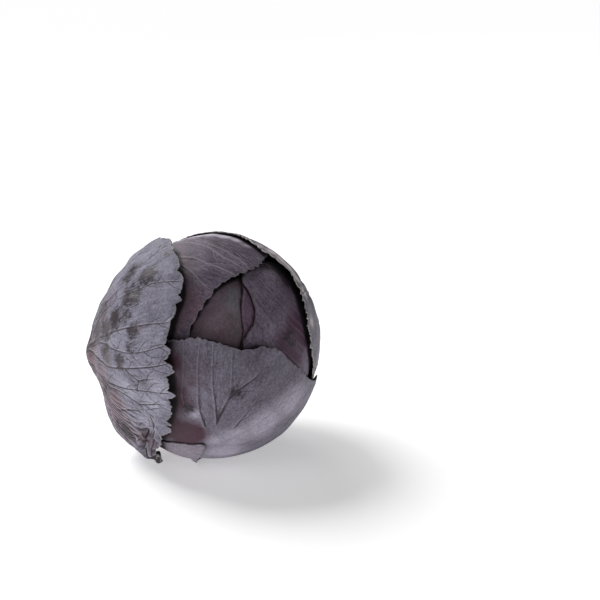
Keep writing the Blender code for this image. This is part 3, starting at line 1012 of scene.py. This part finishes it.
# %% Crown leaf
LEAVES["crown_leaf"].update(
    seed=4, pitch=4.5, tooth=0.7, nick=0.4, quilt=0.35, quilt_width=3.2, ridge=0.2, pucker=0.15,
    ruffle=0.2, fan=(60, 200),
    blushed=[(166, 345, 14, 0.7), (169, 79, 11, 1.4), (172, 10, 10, 1.4), (150, 340, 14, 0.5),
             (168, 110, 12, 0.8)],
    rubbed=[(150, 90, 7, 0.6), (168, 60, 6, 0.7), (131, 354, 7, 1.1), (138, 345, 6, 1.1),
            (145, 343, 5, 0.9)])
leaf = LEAVES["crown_leaf"]
STREAK_AXIS = (48, 136)
STREAK_LATITUDES = (-72, -66, -60, -55, -50, -45, -40, -36, -31, -26, -20, -13, -5)
draw = random.Random(42)
crown_veins = [
    vein_round(leaf, STREAK_AXIS, latitude + draw.uniform(-1.2, 1.2), (-100, 60),
               (draw.uniform(0.35, 0.9), draw.uniform(0.3, 0.7)),
               (draw.uniform(0.0, 0.7), draw.uniform(0.0, 0.4)))
    for latitude in STREAK_LATITUDES]
crown_fine = branches_of(crown_veins, random.Random(41), 8.0, 15.0, 30, (0.25, 0.12), 1.0)
crown_finish = leaf_finish(
    "crown_leaf_finish", cover=0.60, streak=0.7, net=0.3, rough=0.42,
    bloom=(0.216, 0.180, 0.250), skin=(0.100, 0.065, 0.108), blush=(0.086, 0.034, 0.074),
    pale=(0.34, 0.29, 0.36), edge=(0.06, 0.04, 0.055), frost=(0.3, 0.26, 0.32))
make_leaf("crown_leaf", 150, crown_veins, crown_fine, crown_finish)

# %% [markdown]
# ## Top leaf
#
# It lies over the top and ends in a toothed margin that runs down to the left. A few long pale veins
# sweep over it from the stem towards the crown. A painted highlight, over some thick bloom, whitens its
# uppermost part.

# %% Top leaf
LEAVES["top_leaf"].update(
    seed=5, pitch=5.0, tooth=1.7, nick=0.6, quilt=0.5, quilt_width=4.0, ridge=0.35, pucker=0.15,
    ruffle=0.25, fan=(14, 8), blushed=[(95, 32, 12, 0.8), (108, 52, 14, 0.8), (90, 15, 9, 0.5)],
    # These frosted places along the top are a painted highlight.
    frosted=[(64, 354, 8, 1.3), (74, 356, 6, 1.4), (82, 355, 6, 1.5), (89, 353.5, 6, 1.7),
             (96, 351, 5.5, 1.7), (103, 349.5, 5, 1.6), (110, 349, 4, 1.2), (117, 350, 4, 0.8)],
    rubbed=[(103, 25, 6, 0.35)])
leaf = LEAVES["top_leaf"]
PALE_VEIN = (1.0, 0.95)
top_veins = [
    vein_through(leaf, places, half, PALE_VEIN) for places, half in (
        ([(16, 8), (45, 0), (66, 359), (81, 4.6), (95, 9.1), (106, 11.4), (114, 14.7),
          (127, 16.7)], (1.0, 0.5)),
        ([(70, 358), (84, 3), (97, 5), (108, 8), (116, 9), (128, 12)], (0.6, 0.4)),
        ([(56, 6), (78, 18), (94.4, 24.3), (103.6, 23.4), (112, 25.4), (117.5, 25),
          (126, 25.7)], (0.8, 0.4)),
        ([(50, 8), (75, 20), (98, 29.4), (105.4, 32.8), (112, 37.7), (117, 40.6)], (0.7, 0.3)),
        ([(40, 8), (62, 22), (85, 40), (100, 54), (106, 66)], (0.7, 0.3)),
        ([(30, 8), (48, 34), (66, 58), (84, 74)], (0.7, 0.3)),
        ([(36, 3), (60, 345), (82, 338), (108, 338), (126, 342)], (0.8, 0.3)),
        ([(28, 4), (50, 330), (72, 318), (98, 314), (112, 318)], (0.8, 0.3)),
        ([(22, 2), (38, 312), (60, 298), (82, 296)], (0.7, 0.3)),
    )]
top_veins += [
    vein_through(leaf, places, (0.5, 0.35), (-0.9, -0.7)) for places in (
        [(60, 356), (75.2, 356.4), (89.8, 357.8), (100, 1.1), (107.6, 3.5), (117.8, 5.8), (128, 8)],
        [(114.9, 2.6), (122.5, 4.2), (129.7, 5.6)],
    )]
top_fine = branches_of(top_veins, random.Random(51), 7.0, 14.0, 36, (0.3, 0.12), 1.0)
top_finish = leaf_finish(
    "top_leaf_finish", cover=0.62, streak=0.55, net=0.3, rough=0.42,
    bloom=(0.142, 0.115, 0.168), skin=(0.082, 0.054, 0.085), blush=(0.185, 0.118, 0.155),
    pale=(0.38, 0.33, 0.40), edge=(0.20, 0.17, 0.20), frost=(0.60, 0.55, 0.64))
make_leaf("top_leaf", 160, top_veins, top_fine, top_finish)

# %% [markdown]
# ## Back leaf
#
# The back of the head belongs to this leaf. Seen from the front only its ragged margin shows,
# as a thin pale rim that stands off the head. It has one midrib, with side veins that leave
# it in turn, as any whole cabbage leaf does.

# %% Back leaf
def feathered(leaf, start, bearing, length, side_arcs, spread, half, tone):
    """A midrib and its side veins, to both sides in turn."""
    base = way_to(start)
    arc = np.linspace(1, length, 9)
    veins = [Vein(to_plan(leaf, step_from(base, np.full(9, float(bearing)), arc)), half, tone)]
    heading = np.array([float(bearing)])
    for number, at in enumerate(side_arcs):
        side = -1 if number % 2 else 1
        foot = step_from(base, heading, np.array([float(at)]))[0]
        forward = bearing_and_arc(foot, step_from(base, heading, np.array([at + 4.0])))[0][0]
        run = np.linspace(0, min(62.0, 30 + 0.6 * (length - at)), 7)
        turned = forward + side * (spread - 0.45 * run)
        thin = (half[0] * 0.6, half[1] * 0.8)
        veins.append(Vein(to_plan(leaf, step_from(foot, turned, run)), thin, tone))
    return veins


LEAVES["back_leaf"].update(
    seed=8, pitch=4.4, tooth=2.4, nick=1.2, quilt=0.6, quilt_width=4.5, ridge=0.7, pucker=0.25,
    swell=[(-200, 1), (-70, 1), (-40, 0.6), (-20, 0.6), (0, 1.1), (14, 1.4), (25, 1.4), (60, 1),
           (200, 1), (300, 1)],
    ruffle=1.0, fan=(14, 279), blushed=[(60, 300, 18, 0.5), (120, 250, 20, 0.5)],
    # The frosted places and the pale edge tone on the rim are worn, dry bloom and a painted highlight
    # together.
    frosted=[(122, 345, 3, 1.1), (128, 342, 4, 1.3), (134, 339, 4, 1.6), (139, 336, 4, 1.6),
             (145, 335, 4, 1.4), (153, 331, 4, 1.1), (168, 320, 4, 0.9)],
    rubbed=[(70, 262, 16, 0.8), (100, 300, 18, 0.9), (50, 290, 10, 0.7), (130, 240, 16, 0.8),
            (150, 300, 10, 0.9)])
leaf = LEAVES["back_leaf"]
back_veins = feathered(
    leaf, (13, 279), 0, 150, (12, 20, 30, 41, 54, 67, 82, 98, 116), 52, (1.5, 0.4), (-0.35, -0.6))
back_fine = branches_of(back_veins, random.Random(81), 7.5, 17.0, 48, (0.35, 0.14), 1.0)
back_finish = leaf_finish(
    "back_leaf_finish", cover=0.66, streak=0.4, net=0.3, rough=0.42,
    bloom=(0.200, 0.185, 0.238), skin=(0.115, 0.088, 0.126), blush=(0.155, 0.096, 0.145),
    pale=(0.44, 0.40, 0.47), edge=(0.62, 0.56, 0.56), frost=(0.68, 0.61, 0.62))
make_leaf("back_leaf", 165, back_veins, back_fine, back_finish)

# %% [markdown]
# ## Front leaf
#
# The largest leaf in view. Its veins spread upwards like a fan from one spot low on the left.
# Near that spot they are dark furrows, and further up they turn pale. The leaf is purple on the left,
# where the side leaf shades it: painted shade lies there over its own purple, with one bruised reddish
# patch. Its lower part is painted paler, as light thrown up from the floor.

# %% Front leaf
LEAVES["front_leaf"].update(
    seed=6, pitch=5.2, tooth=1.3, nick=0.4, quilt=0.45, quilt_width=4.0, ridge=0.15, pucker=0.18,
    swell=[(-200, 1), (-60, 1), (-4, 1), (8, 0.5), (14, 0.1), (34, 0.1), (50, 0.8), (100, 1),
           (200, 1), (300, 1)],
    ruffle=0.35, fan=(116, 122),
    blushed=[(104, 84, 12, 0.75), (103, 100, 10, 0.9), (96, 119, 9, 1.3), (103, 122, 8, 1.5),
             (98, 129, 7, 1.3), (112, 90, 10, 0.5)],
    # These frosted places on the lower part are painted light from the floor.
    frosted=[(112, 132, 7, 0.9), (122, 138, 12, 1.3), (133, 144, 14, 1.3), (109, 148, 12, 1.3),
             (150, 150, 14, 1.0), (110, 110, 4, 0.9), (96, 150, 10, 0.7)],
    rubbed=[(102, 120, 5, 0.35), (96, 121, 5, 0.4), (132, 104, 5, 0.7), (108, 106, 3, 0.8)])
leaf = LEAVES["front_leaf"]
front_veins = [
    vein_through(leaf, places, half, tone) for places, half, tone in (
        ([(20, 140), (50, 134), (78, 130)], (1.3, 0.5), (-0.6, -0.1)),
        ([(106.5, 106), (107, 98), (109, 91), (110.4, 75), (110, 68)], (0.3, 0.25), (0.1, 0.5)),
        ([(112, 119), (113, 108), (115, 97), (117, 80), (118, 70)], (0.6, 0.25), (-1, 0.6)),
        ([(118, 119), (121, 106), (122, 95), (123.7, 80), (124, 69)], (0.6, 0.25), (-1, 0.5)),
        ([(118, 119), (123, 112), (129, 103.5), (132, 88), (133, 72)], (0.8, 0.25), (-1, 0.2)),
        ([(128, 106), (133, 103), (140, 100), (150, 92)], (0.8, 0.25), (-1, -0.2)),
        ([(124, 128), (134, 121), (143, 114), (151, 105), (157, 88)], (0.5, 0.3), (-0.8, 0.5)),
        ([(112, 136), (127, 138), (145, 138.5), (160, 138)], (0.5, 0.35), (0.9, 0.7)),
        ([(108, 142), (124, 151), (144, 160), (160, 178)], (0.6, 0.35), (0.8, 0.6)),
        ([(98, 146), (112, 162), (130, 176), (150, 200)], (0.6, 0.35), (0.5, 0.5)),
        ([(70, 140), (84, 166), (104, 184), (128, 202), (146, 220)], (0.7, 0.35), (-0.5, 0.3)),
        ([(50, 143), (62, 176), (80, 196), (104, 212), (128, 226)], (0.7, 0.35), (-0.5, 0.2)),
        ([(80, 128), (84, 112), (92, 98), (98, 80)], (0.6, 0.3), (-0.6, 0.3)),
        ([(55, 133), (62, 110), (72, 90), (82, 74)], (0.6, 0.3), (-0.6, 0.3)),
    )]
front_fine = branches_of(front_veins, random.Random(61), 7.0, 15.0, 36, (0.3, 0.12), 1.0)
front_finish = leaf_finish(
    "front_leaf_finish", cover=0.72, streak=0.35, net=0.2, rough=0.42,
    bloom=(0.178, 0.160, 0.212), skin=(0.104, 0.080, 0.114), blush=(0.067, 0.025, 0.041),
    pale=(0.37, 0.34, 0.42), edge=(0.20, 0.18, 0.21), frost=(0.47, 0.43, 0.53))
make_leaf("front_leaf", 180, front_veins, front_fine, front_finish)

# %% [markdown]
# ## Under leaf
#
# The head rests on this leaf. Its pale corner pokes out at the lower left.

# %% Under leaf
LEAVES["under_leaf"].update(
    seed=7, pitch=5.0, tooth=1.2, nick=0.6, quilt=0.4, quilt_width=4.0, ridge=0.4, pucker=0.12,
    ruffle=0.4, fan=(14, 180), blushed=[(50, 190, 18, 0.5)],
    rubbed=[(108, 158, 4, 0.9), (60, 205, 12, 0.7)])
leaf = LEAVES["under_leaf"]
under_veins = feathered(leaf, (13, 180), 0, 78, (10, 18, 27, 37, 48), 50, (1.3, 0.4), (-0.5, -0.5))
under_fine = branches_of(under_veins, random.Random(71), 7.5, 15.0, 45, (0.3, 0.12), 1.0)
under_finish = leaf_finish(
    "under_leaf_finish", cover=0.75, streak=0.4, net=0.3, rough=0.42,
    bloom=(0.290, 0.252, 0.312), skin=(0.210, 0.160, 0.210), blush=(0.17, 0.11, 0.16),
    pale=(0.48, 0.44, 0.50), edge=(0.20, 0.17, 0.20), frost=(0.46, 0.42, 0.49))
make_leaf("under_leaf", 125, under_veins, under_fine, under_finish)

# %% [markdown]
# ## Side leaf
#
# The outermost leaf is the palest and the most handled one. All its veins gather in the pointed keel at
# the far left, and the big torn teeth of its margin stand off the head and throw a dark gap of shadow,
# which painted shadow on the leaves below makes deeper. Its lower part is loose and creased, and
# painted light from the floor makes it paler.

# %% Side leaf
LEAVES["side_leaf"].update(
    seed=9, pitch=8.5, tooth=4.5, nick=1.1, quilt=0.75, quilt_width=3.6, ridge=0.25, pucker=0.28,
    ruffle=2.0, fan=(27, 86),
    swell=[(-200, 0.4), (-80, 0.4), (-60, 0.7), (-34, 0.8), (-26, 0.6), (-20, 0.2), (-11, 0.2),
           (-6, 0.9), (3, 1.0), (60, 1.0), (90, 0.8), (120, 0.6), (200, 0.5), (300, 0.5)],
    creased=[(50, 122, 22, 1.6), (66, 126, 16, 1.5), (42, 104, 12, 1.2), (72, 112, 9, 0.8),
             (58, 112, 9, 0.9), (44, 62, 15, 0.8), (56, 42, 13, 0.7), (66, 60, 12, 0.35),
             (48, 84, 10, 0.5)],
    crumpled=[(83, 126, 9, 1.2), (76, 136, 9, 1.6), (70, 142, 8, 1.0)],
    blushed=[(36, 81, 14, 0.9), (52, 58, 9, 0.8), (60, 47, 7, 0.5), (52, 100, 14, 0.9),
             (60, 108, 12, 1.0), (62, 122, 14, 0.9), (48, 72, 8, 0.6), (88, 66, 4, 0.6),
             (80, 122, 8, 0.8)],
    # The frosted places low on this leaf are painted light, thrown up from the floor.
    frosted=[(92, 101, 8, 0.8), (98, 92, 8, 0.7), (84, 113, 8, 0.7), (78, 96, 7, 0.7),
             (72, 30, 6, 0.5)],
    rubbed=[(86, 12, 3.5, 1.6), (80, 50, 7, 1.0), (73, 37, 7, 0.8), (48, 24, 9, 0.9),
            (87, 40, 6, 1.0), (70, 61, 7, 1.0), (62, 65, 7, 1.0), (78, 60, 6, 0.8),
            (85, 67, 4, 1.0), (62, 79, 6, 1.0), (75, 82, 5, 0.9), (56, 100, 6, 0.8),
            (64, 126, 8, 0.9), (76, 137, 7, 1.2), (50, 66, 7, 1.0), (54, 54, 6, 0.8),
            (84, 75, 5, 0.6), (92, 30, 6, 0.5), (30, 30, 14, 0.9), (40, 140, 14, 0.8)])
leaf = LEAVES["side_leaf"]
DARK_VEIN = (-1, -0.8)
side_veins = [
    vein_through(leaf, places, half, DARK_VEIN) for places, half in (
        ([(27, 84), (34, 62), (46, 42), (62, 27), (78, 21)], (0.5, 0.2)),
        ([(27, 84), (46, 51), (59, 42), (73, 36), (82, 31), (90, 20)], (0.6, 0.25)),
        ([(27, 84), (42, 61), (66, 51), (83, 47), (94, 44), (104, 43)], (0.6, 0.25)),
        ([(27, 85), (36, 75), (66, 68), (87, 65), (104, 63)], (0.8, 0.3)),
        ([(40, 76), (56, 73), (76, 77), (88, 77), (102, 74)], (0.6, 0.25)),
        ([(27, 86), (36, 80), (59, 86), (77, 85), (96, 83), (106, 81)], (0.9, 0.3)),
        ([(27, 87), (37, 91), (65, 96), (85, 95), (102, 95)], (0.7, 0.25)),
        ([(78.9, 85.6), (82.7, 87.4), (86.8, 90), (90.8, 89), (95.2, 89)], (0.4, 0.2)),
        ([(86.8, 90), (85.7, 93), (84.5, 95.7)], (0.35, 0.3)),
        ([(52, 97), (56.2, 97.8), (66, 98.5), (75, 99.3), (82.7, 102.5), (90.7, 107.3)], (0.7, 0.3)),
        ([(82.6, 102.8), (89.7, 101.7), (98, 101)], (0.4, 0.2)),
        ([(27, 89), (45, 100), (56, 108), (63.7, 111), (74.7, 108), (80.3, 107), (86, 109.6),
          (88.4, 113)], (0.7, 0.4)),
        ([(63.7, 111.1), (69.6, 115), (73, 118), (79.5, 117), (83.5, 117), (81.2, 121.8),
          (74, 132)], (0.6, 0.5)),
        ([(27, 91), (40, 106), (52, 118), (53.6, 127.6), (57.7, 132), (67.6, 129),
          (78.2, 124)], (0.7, 0.3)),
        ([(89, 108.3), (89, 112.3), (85.8, 119.3), (83.4, 127.2)], (0.5, 0.4)),
        ([(27, 92), (38, 108), (48, 127), (56, 142), (62, 150)], (0.6, 0.3)),
        ([(27, 92), (34, 116), (42, 140), (50, 156), (54, 166)], (0.6, 0.3)),
        ([(27, 80), (28, 50), (34, 20), (44, 5), (56, 355)], (0.6, 0.3)),
        ([(27, 78), (24, 40), (26, 10), (32, 350)], (0.5, 0.3)),
        ([(13, 100), (18, 92), (27, 86)], (1.6, 1.0)),
    )]
side_fine = branches_of(side_veins, random.Random(91), 5.5, 13.0, 46, (0.3, 0.12), 1.0)
side_finish = leaf_finish(
    "side_leaf_finish", cover=0.74, streak=0.35, net=0.22, rough=0.40,
    bloom=(0.196, 0.189, 0.250), skin=(0.112, 0.092, 0.128), blush=(0.155, 0.098, 0.120),
    pale=(0.46, 0.43, 0.50), edge=(0.28, 0.26, 0.27), frost=(0.42, 0.41, 0.50))
make_leaf("side_leaf", 215, side_veins, side_fine, side_finish)

# %% [markdown]
# ## The inner head
#
# Inside the seven leaves is the tight head, dark because no light has bleached it and little
# bloom covers it. An icosphere has even faces all over, which suits a ball that is then bent
# to the head's form.

# %% Inner head
bpy.ops.object.select_all(action="DESELECT")
bpy.ops.mesh.primitive_ico_sphere_add(subdivisions=6, radius=1)
heart = bpy.context.object
heart.name = heart.data.name = "inner_head_skin"
ways = points_of(heart)
ways = ways / np.linalg.norm(ways, axis=1)[:, None]
heart_plan = dict(layer=0, middle=way_to((125, 60)))
plan = to_plan(heart_plan, ways)
heart_veins = vein_fan(heart_plan, (60, 200), range(-70, 71, 10), (4, 175), 0.1, (0.5, 0.3), (0.3, 0.3))
signed, plain, half, _ = measure(plan, heart_veins)
RIPPLE_MM, RIPPLE_WAVE_MM = 0.12, 15.0
FURROW_MM, FURROW_WIDTH_MM = 0.1, 1.5
lift = shared_ground(ways) + RIPPLE_MM * ripples(ways, RIPPLE_WAVE_MM, 77)
lift -= FURROW_MM * np.exp(-((plain / FURROW_WIDTH_MM) ** 2))
heart.data.vertices.foreach_set("co", on_head(ways, 0, lift / 1000).ravel())
store(heart, {
    "vein": in_halves(signed, half),
    "vein_near": in_halves(plain, half),
    "grey": spots(ways, [(130, 34, 6, 1.0), (130, 41, 6, 1.0), (136, 48, 6, 0.8)]),
    "shade_under_others": painted_shade_by_others(0, ways),
    "rub": spots(ways, [(129, 45, 6, 0.8), (133, 55, 7, 1.1), (134, 63, 6, 1.1), (128, 57, 5, 0.7)]),
})
bpy.ops.object.shade_smooth()
print("inner head:", len(heart.data.polygons), "faces")

# %% [markdown]
# Its finish is a simpler version of the leaves': brown-purple skin, a faint greenish cast where it was
# pressed, just visible veins, and a painted shadow under the margins of the leaves over it.

# %% Finish of the inner head
paint = Paint("inner_head_finish")
place = paint.add("ShaderNodeTexCoord", {}, {}, "Object")
clouds = paint.noise(place, 55.0, 4.0)
grain = paint.noise(place, 560.0, 4.0, 0.7)
shade = paint.colours(clouds.clear(0.3, 0.7), colour(0.172, 0.108, 0.140), colour(0.218, 0.160, 0.204))
pressed = paint.attribute("rub") * (paint.noise(place, 130.0, 4.0) * 1.2 + 0.1)
shade = paint.colours(pressed.clear(0.2, 0.9) * 0.75, shade, colour(0.080, 0.080, 0.078))
greyed = paint.attribute("grey") * (paint.noise(place, 90.0, 3.0) + 0.3)
shade = paint.colours(greyed.clear(0.1, 0.9) * 0.8, shade, colour(0.200, 0.200, 0.235))
shade = paint.colours(1.0, shade, grain * 1.4 + 0.3, "MULTIPLY")
vein, near = paint.attribute("vein"), paint.attribute("vein_near")
line = abs(vein).clear(1.6, 0.4) * near.clear(4.5, 2.5)
shade = paint.colours(line * 0.08, shade, colour(0.16, 0.12, 0.14))
# Painted shadow under the margins of the leaves that lie over the inner head.
shade = paint.colours(paint.attribute("shade_under_others").clear(0.4, 0.95) * 0.95, shade, PAINTED_SHADOW)
paint.feed("Base Color", shade)
paint.feed("Roughness", 0.42 + grain * 0.14)
paint.bumps(clouds * 0.4 + grain * 0.15 + line * 0.3, 0.6, 0.0005)
heart.data.materials.append(paint.material)
print("finish of the inner head:", len(paint.tree.nodes), "nodes")
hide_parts("inner_head")
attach(heart, "root")

# %% [markdown]
# ## The stump
#
# The stem was cut with a knife: a pale, slightly dished face with a green-white pith, a ring
# of fibres and a brown, dried rim. It starts as a cylinder. Its end is inset a few times so
# that the rings can be sunk by small steps.

# %% Stump
STUMP_RADIUS = 0.0125
STUMP_OUT = 0.0880
STUMP_FOOT_SHARE = 0.9
TOUCHING_GAP = 0.0004
foot = float(layer_radius(np.array([0.0]), 0)[0]) + TOUCHING_GAP
bpy.ops.object.select_all(action="DESELECT")
bpy.ops.mesh.primitive_cylinder_add(vertices=64, radius=STUMP_RADIUS, depth=STUMP_OUT - foot)
stub = bpy.context.object
stub.name = stub.data.name = "stump_cut"
bpy.ops.object.mode_set(mode="EDIT")
bpy.ops.mesh.select_mode(type="FACE")
bpy.ops.mesh.select_all(action="DESELECT")
bpy.ops.object.mode_set(mode="OBJECT")
for face in stub.data.polygons:
    face.select = face.normal.z > 0.9
bpy.ops.object.mode_set(mode="EDIT")
RINGS = ((0.0012, 0.0), (0.0010, -0.0004), (0.0022, -0.0002), (0.0030, -0.0004), (0.0025, 0.0002))
for inset, sink in RINGS:
    bpy.ops.mesh.inset(thickness=inset, depth=sink)
bpy.ops.mesh.poke()
bpy.ops.object.mode_set(mode="OBJECT")
print("stump from", round(1000 * foot, 1), "to", round(1000 * STUMP_OUT, 1), "mm along the stem")

# %% Stump's rough skin
cut = stub.modifiers.new("cut edge", "BEVEL")
cut.width, cut.segments = 0.0006, 2
cut.limit_method, cut.angle_limit = "ANGLE", math.radians(50)
bpy.ops.object.modifier_apply(modifier=cut.name)
fine_faces = stub.modifiers.new("fine faces", "SUBSURF")
fine_faces.subdivision_type = "SIMPLE"
fine_faces.levels = fine_faces.render_levels = 2
bpy.ops.object.modifier_apply(modifier=fine_faces.name)
BROAD_RIBS, FINE_RIBS = 0.018, 0.010
half_depth = (STUMP_OUT - foot) / 2
frame_turn = Vector(STEM).to_track_quat("Z", "Y").to_matrix()
for vertex in stub.data.vertices:
    up = (vertex.co.z + half_depth) / (2 * half_depth)
    round_about = math.atan2(vertex.co.y, vertex.co.x)
    ribbed = 1 + BROAD_RIBS * math.sin(7 * round_about) + FINE_RIBS * math.sin(19 * round_about + 1.0)
    ribbed /= 1 + BROAD_RIBS + FINE_RIBS
    taper = STUMP_FOOT_SHARE + (1 - STUMP_FOOT_SHARE) * up
    vertex.co.x *= taper * ribbed
    vertex.co.y *= taper * ribbed
    vertex.co = frame_turn @ vertex.co + Vector(CENTRE) + Vector(STEM) * (foot + half_depth)
bpy.ops.object.select_all(action="DESELECT")
stub.select_set(True)
bpy.ops.object.shade_smooth_by_angle(angle=math.radians(40))

# %% [markdown]
# The cut face is coloured by the distance from the stem's own line. Object coordinates are
# moved to the stump and squared up with Vector Math: the length of the part across the stem
# is the radius of a ring.

# %% Finish of the stump
paint = Paint("stump_finish")
place = paint.add("ShaderNodeTexCoord", {}, {}, "Object")
from_centre = paint.vectors("SUBTRACT", {0: place, 1: tuple(CENTRE)})
out = paint.vectors("DOT_PRODUCT", {0: from_centre, 1: tuple(STEM)}, 1)
aside = paint.vectors("CROSS_PRODUCT", {0: from_centre, 1: tuple(STEM)})
radius = paint.vectors("LENGTH", {0: aside}, 1)
grain = paint.noise(place, 600.0, 4.0, 0.65)
clouds = paint.noise(place, 160.0, 3.0)
ring = (radius / STUMP_RADIUS) + (clouds - 0.5) * 0.16
shade = paint.colours(ring.clear(0.35, 0.55), colour(0.62, 0.60, 0.46), colour(0.56, 0.50, 0.38))
shade = paint.colours(ring.clear(0.55, 0.62) * ring.clear(0.72, 0.66), shade, colour(0.38, 0.31, 0.22))
shade = paint.colours(ring.clear(0.84, 0.98), shade, colour(0.24, 0.17, 0.14))
shade = paint.colours(grain.clear(0.45, 0.75) * 0.4, shade, colour(0.33, 0.26, 0.19))
side = out.clear(STUMP_OUT - 0.0006, STUMP_OUT - 0.0022)
shade = paint.colours(side, shade, colour(0.36, 0.29, 0.30))
paint.feed("Base Color", shade)
paint.feed("Roughness", 0.62 + grain * 0.25)
paint.bumps(grain * 0.5 + clouds * 0.3, 0.8, 0.0006)
stub.data.materials.append(paint.material)
print("finish of the stump:", len(paint.tree.nodes), "nodes")
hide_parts("stump")
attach(stub, "root")

# %% [markdown]
# ## Floor, light and camera
#
# The head lies on a plain white surface that glows a little, so that it stays white in dim
# light. The main light is a wide sun from above, left of the head and a little behind it, so
# the soft shadow falls to the right and forwards. A low lamp on the left brings out the
# relief, and a weak one behind lights the rim. The camera looks down by 18 degrees from a
# little over a metre. It is aimed so that the head's centre lands on the same pixel as in the
# photograph, with 0.73 mm to a pixel.

# %% Floor
FLOOR_SIZE = 14
WHITE = colour(1.0, 1.0, 1.0)
bpy.ops.object.select_all(action="DESELECT")
bpy.ops.mesh.primitive_plane_add(size=FLOOR_SIZE)
floor = bpy.context.object
floor.name = "floor"
floor_paint = Paint("floor_finish")
floor_paint.hold({"Base Color": colour(0.90, 0.90, 0.90), "Roughness": 0.9})
floor_paint.hold({"Emission Color": WHITE, "Emission Strength": 0.38})
floor.data.materials.append(floor_paint.material)
print("floor:", FLOOR_SIZE, "m wide")

# %% Light
world = bpy.data.worlds.new("studio")
world.use_nodes = True
world.node_tree.nodes["Background"].inputs["Color"].default_value = WHITE
world.node_tree.nodes["Background"].inputs["Strength"].default_value = 0.16
bpy.context.scene.world = world
bpy.context.scene.view_settings.view_transform = "Standard"


def add_light(name, kind, place, spread, power):
    """A light that is aimed at the head: a sun with an angle, or a square area with a side."""
    lamp = bpy.data.lights.new(name, kind)
    lamp.energy = power
    setattr(lamp, "angle" if kind == "SUN" else "size", spread)
    holder = bpy.data.objects.new(name, lamp)
    bpy.context.scene.collection.objects.link(holder)
    holder.location = place
    holder.rotation_mode = "QUATERNION"
    holder.rotation_quaternion = (Vector(CENTRE) - Vector(place)).to_track_quat("-Z", "Y")


add_light("main_light", "SUN", (-0.60, 0.42, 0.90), math.radians(28), 2.2)
add_light("low_light", "AREA", (-1.2, -0.6, 0.25), 0.7, 7)
add_light("back_light", "AREA", (-0.45, 1.15, 1.0), 0.6, 5)
print("lights:", [lamp.name for lamp in bpy.data.lights])

# %% Camera
CAMERA_ELEVATION_DEG = 18.0
CAMERA_DISTANCE = 1.1
METRES_A_PIXEL = 0.00073
PHOTO_PIXELS = 600
HEAD_PIXEL = (208, 343)
SENSOR_MM = 36.0
elevation = math.radians(CAMERA_ELEVATION_DEG)
right = Vector((1, 0, 0))
upward = Vector((0, math.sin(elevation), math.cos(elevation)))
backward = Vector((0, -math.cos(elevation), math.sin(elevation)))
middle = PHOTO_PIXELS / 2
aim = (Vector(CENTRE) + right * (middle - HEAD_PIXEL[0]) * METRES_A_PIXEL
       + upward * (HEAD_PIXEL[1] - middle) * METRES_A_PIXEL)
camera = bpy.data.objects.new("camera", bpy.data.cameras.new("camera"))
bpy.context.scene.collection.objects.link(camera)
camera.data.sensor_width = SENSOR_MM
camera.data.lens = SENSOR_MM * CAMERA_DISTANCE / (PHOTO_PIXELS * METRES_A_PIXEL)
camera.location = aim + backward * CAMERA_DISTANCE
camera.rotation_mode = "QUATERNION"
camera.rotation_quaternion = (-backward).to_track_quat("-Z", "Y")
bpy.context.scene.camera = camera
print("lens in mm:", round(camera.data.lens, 1))
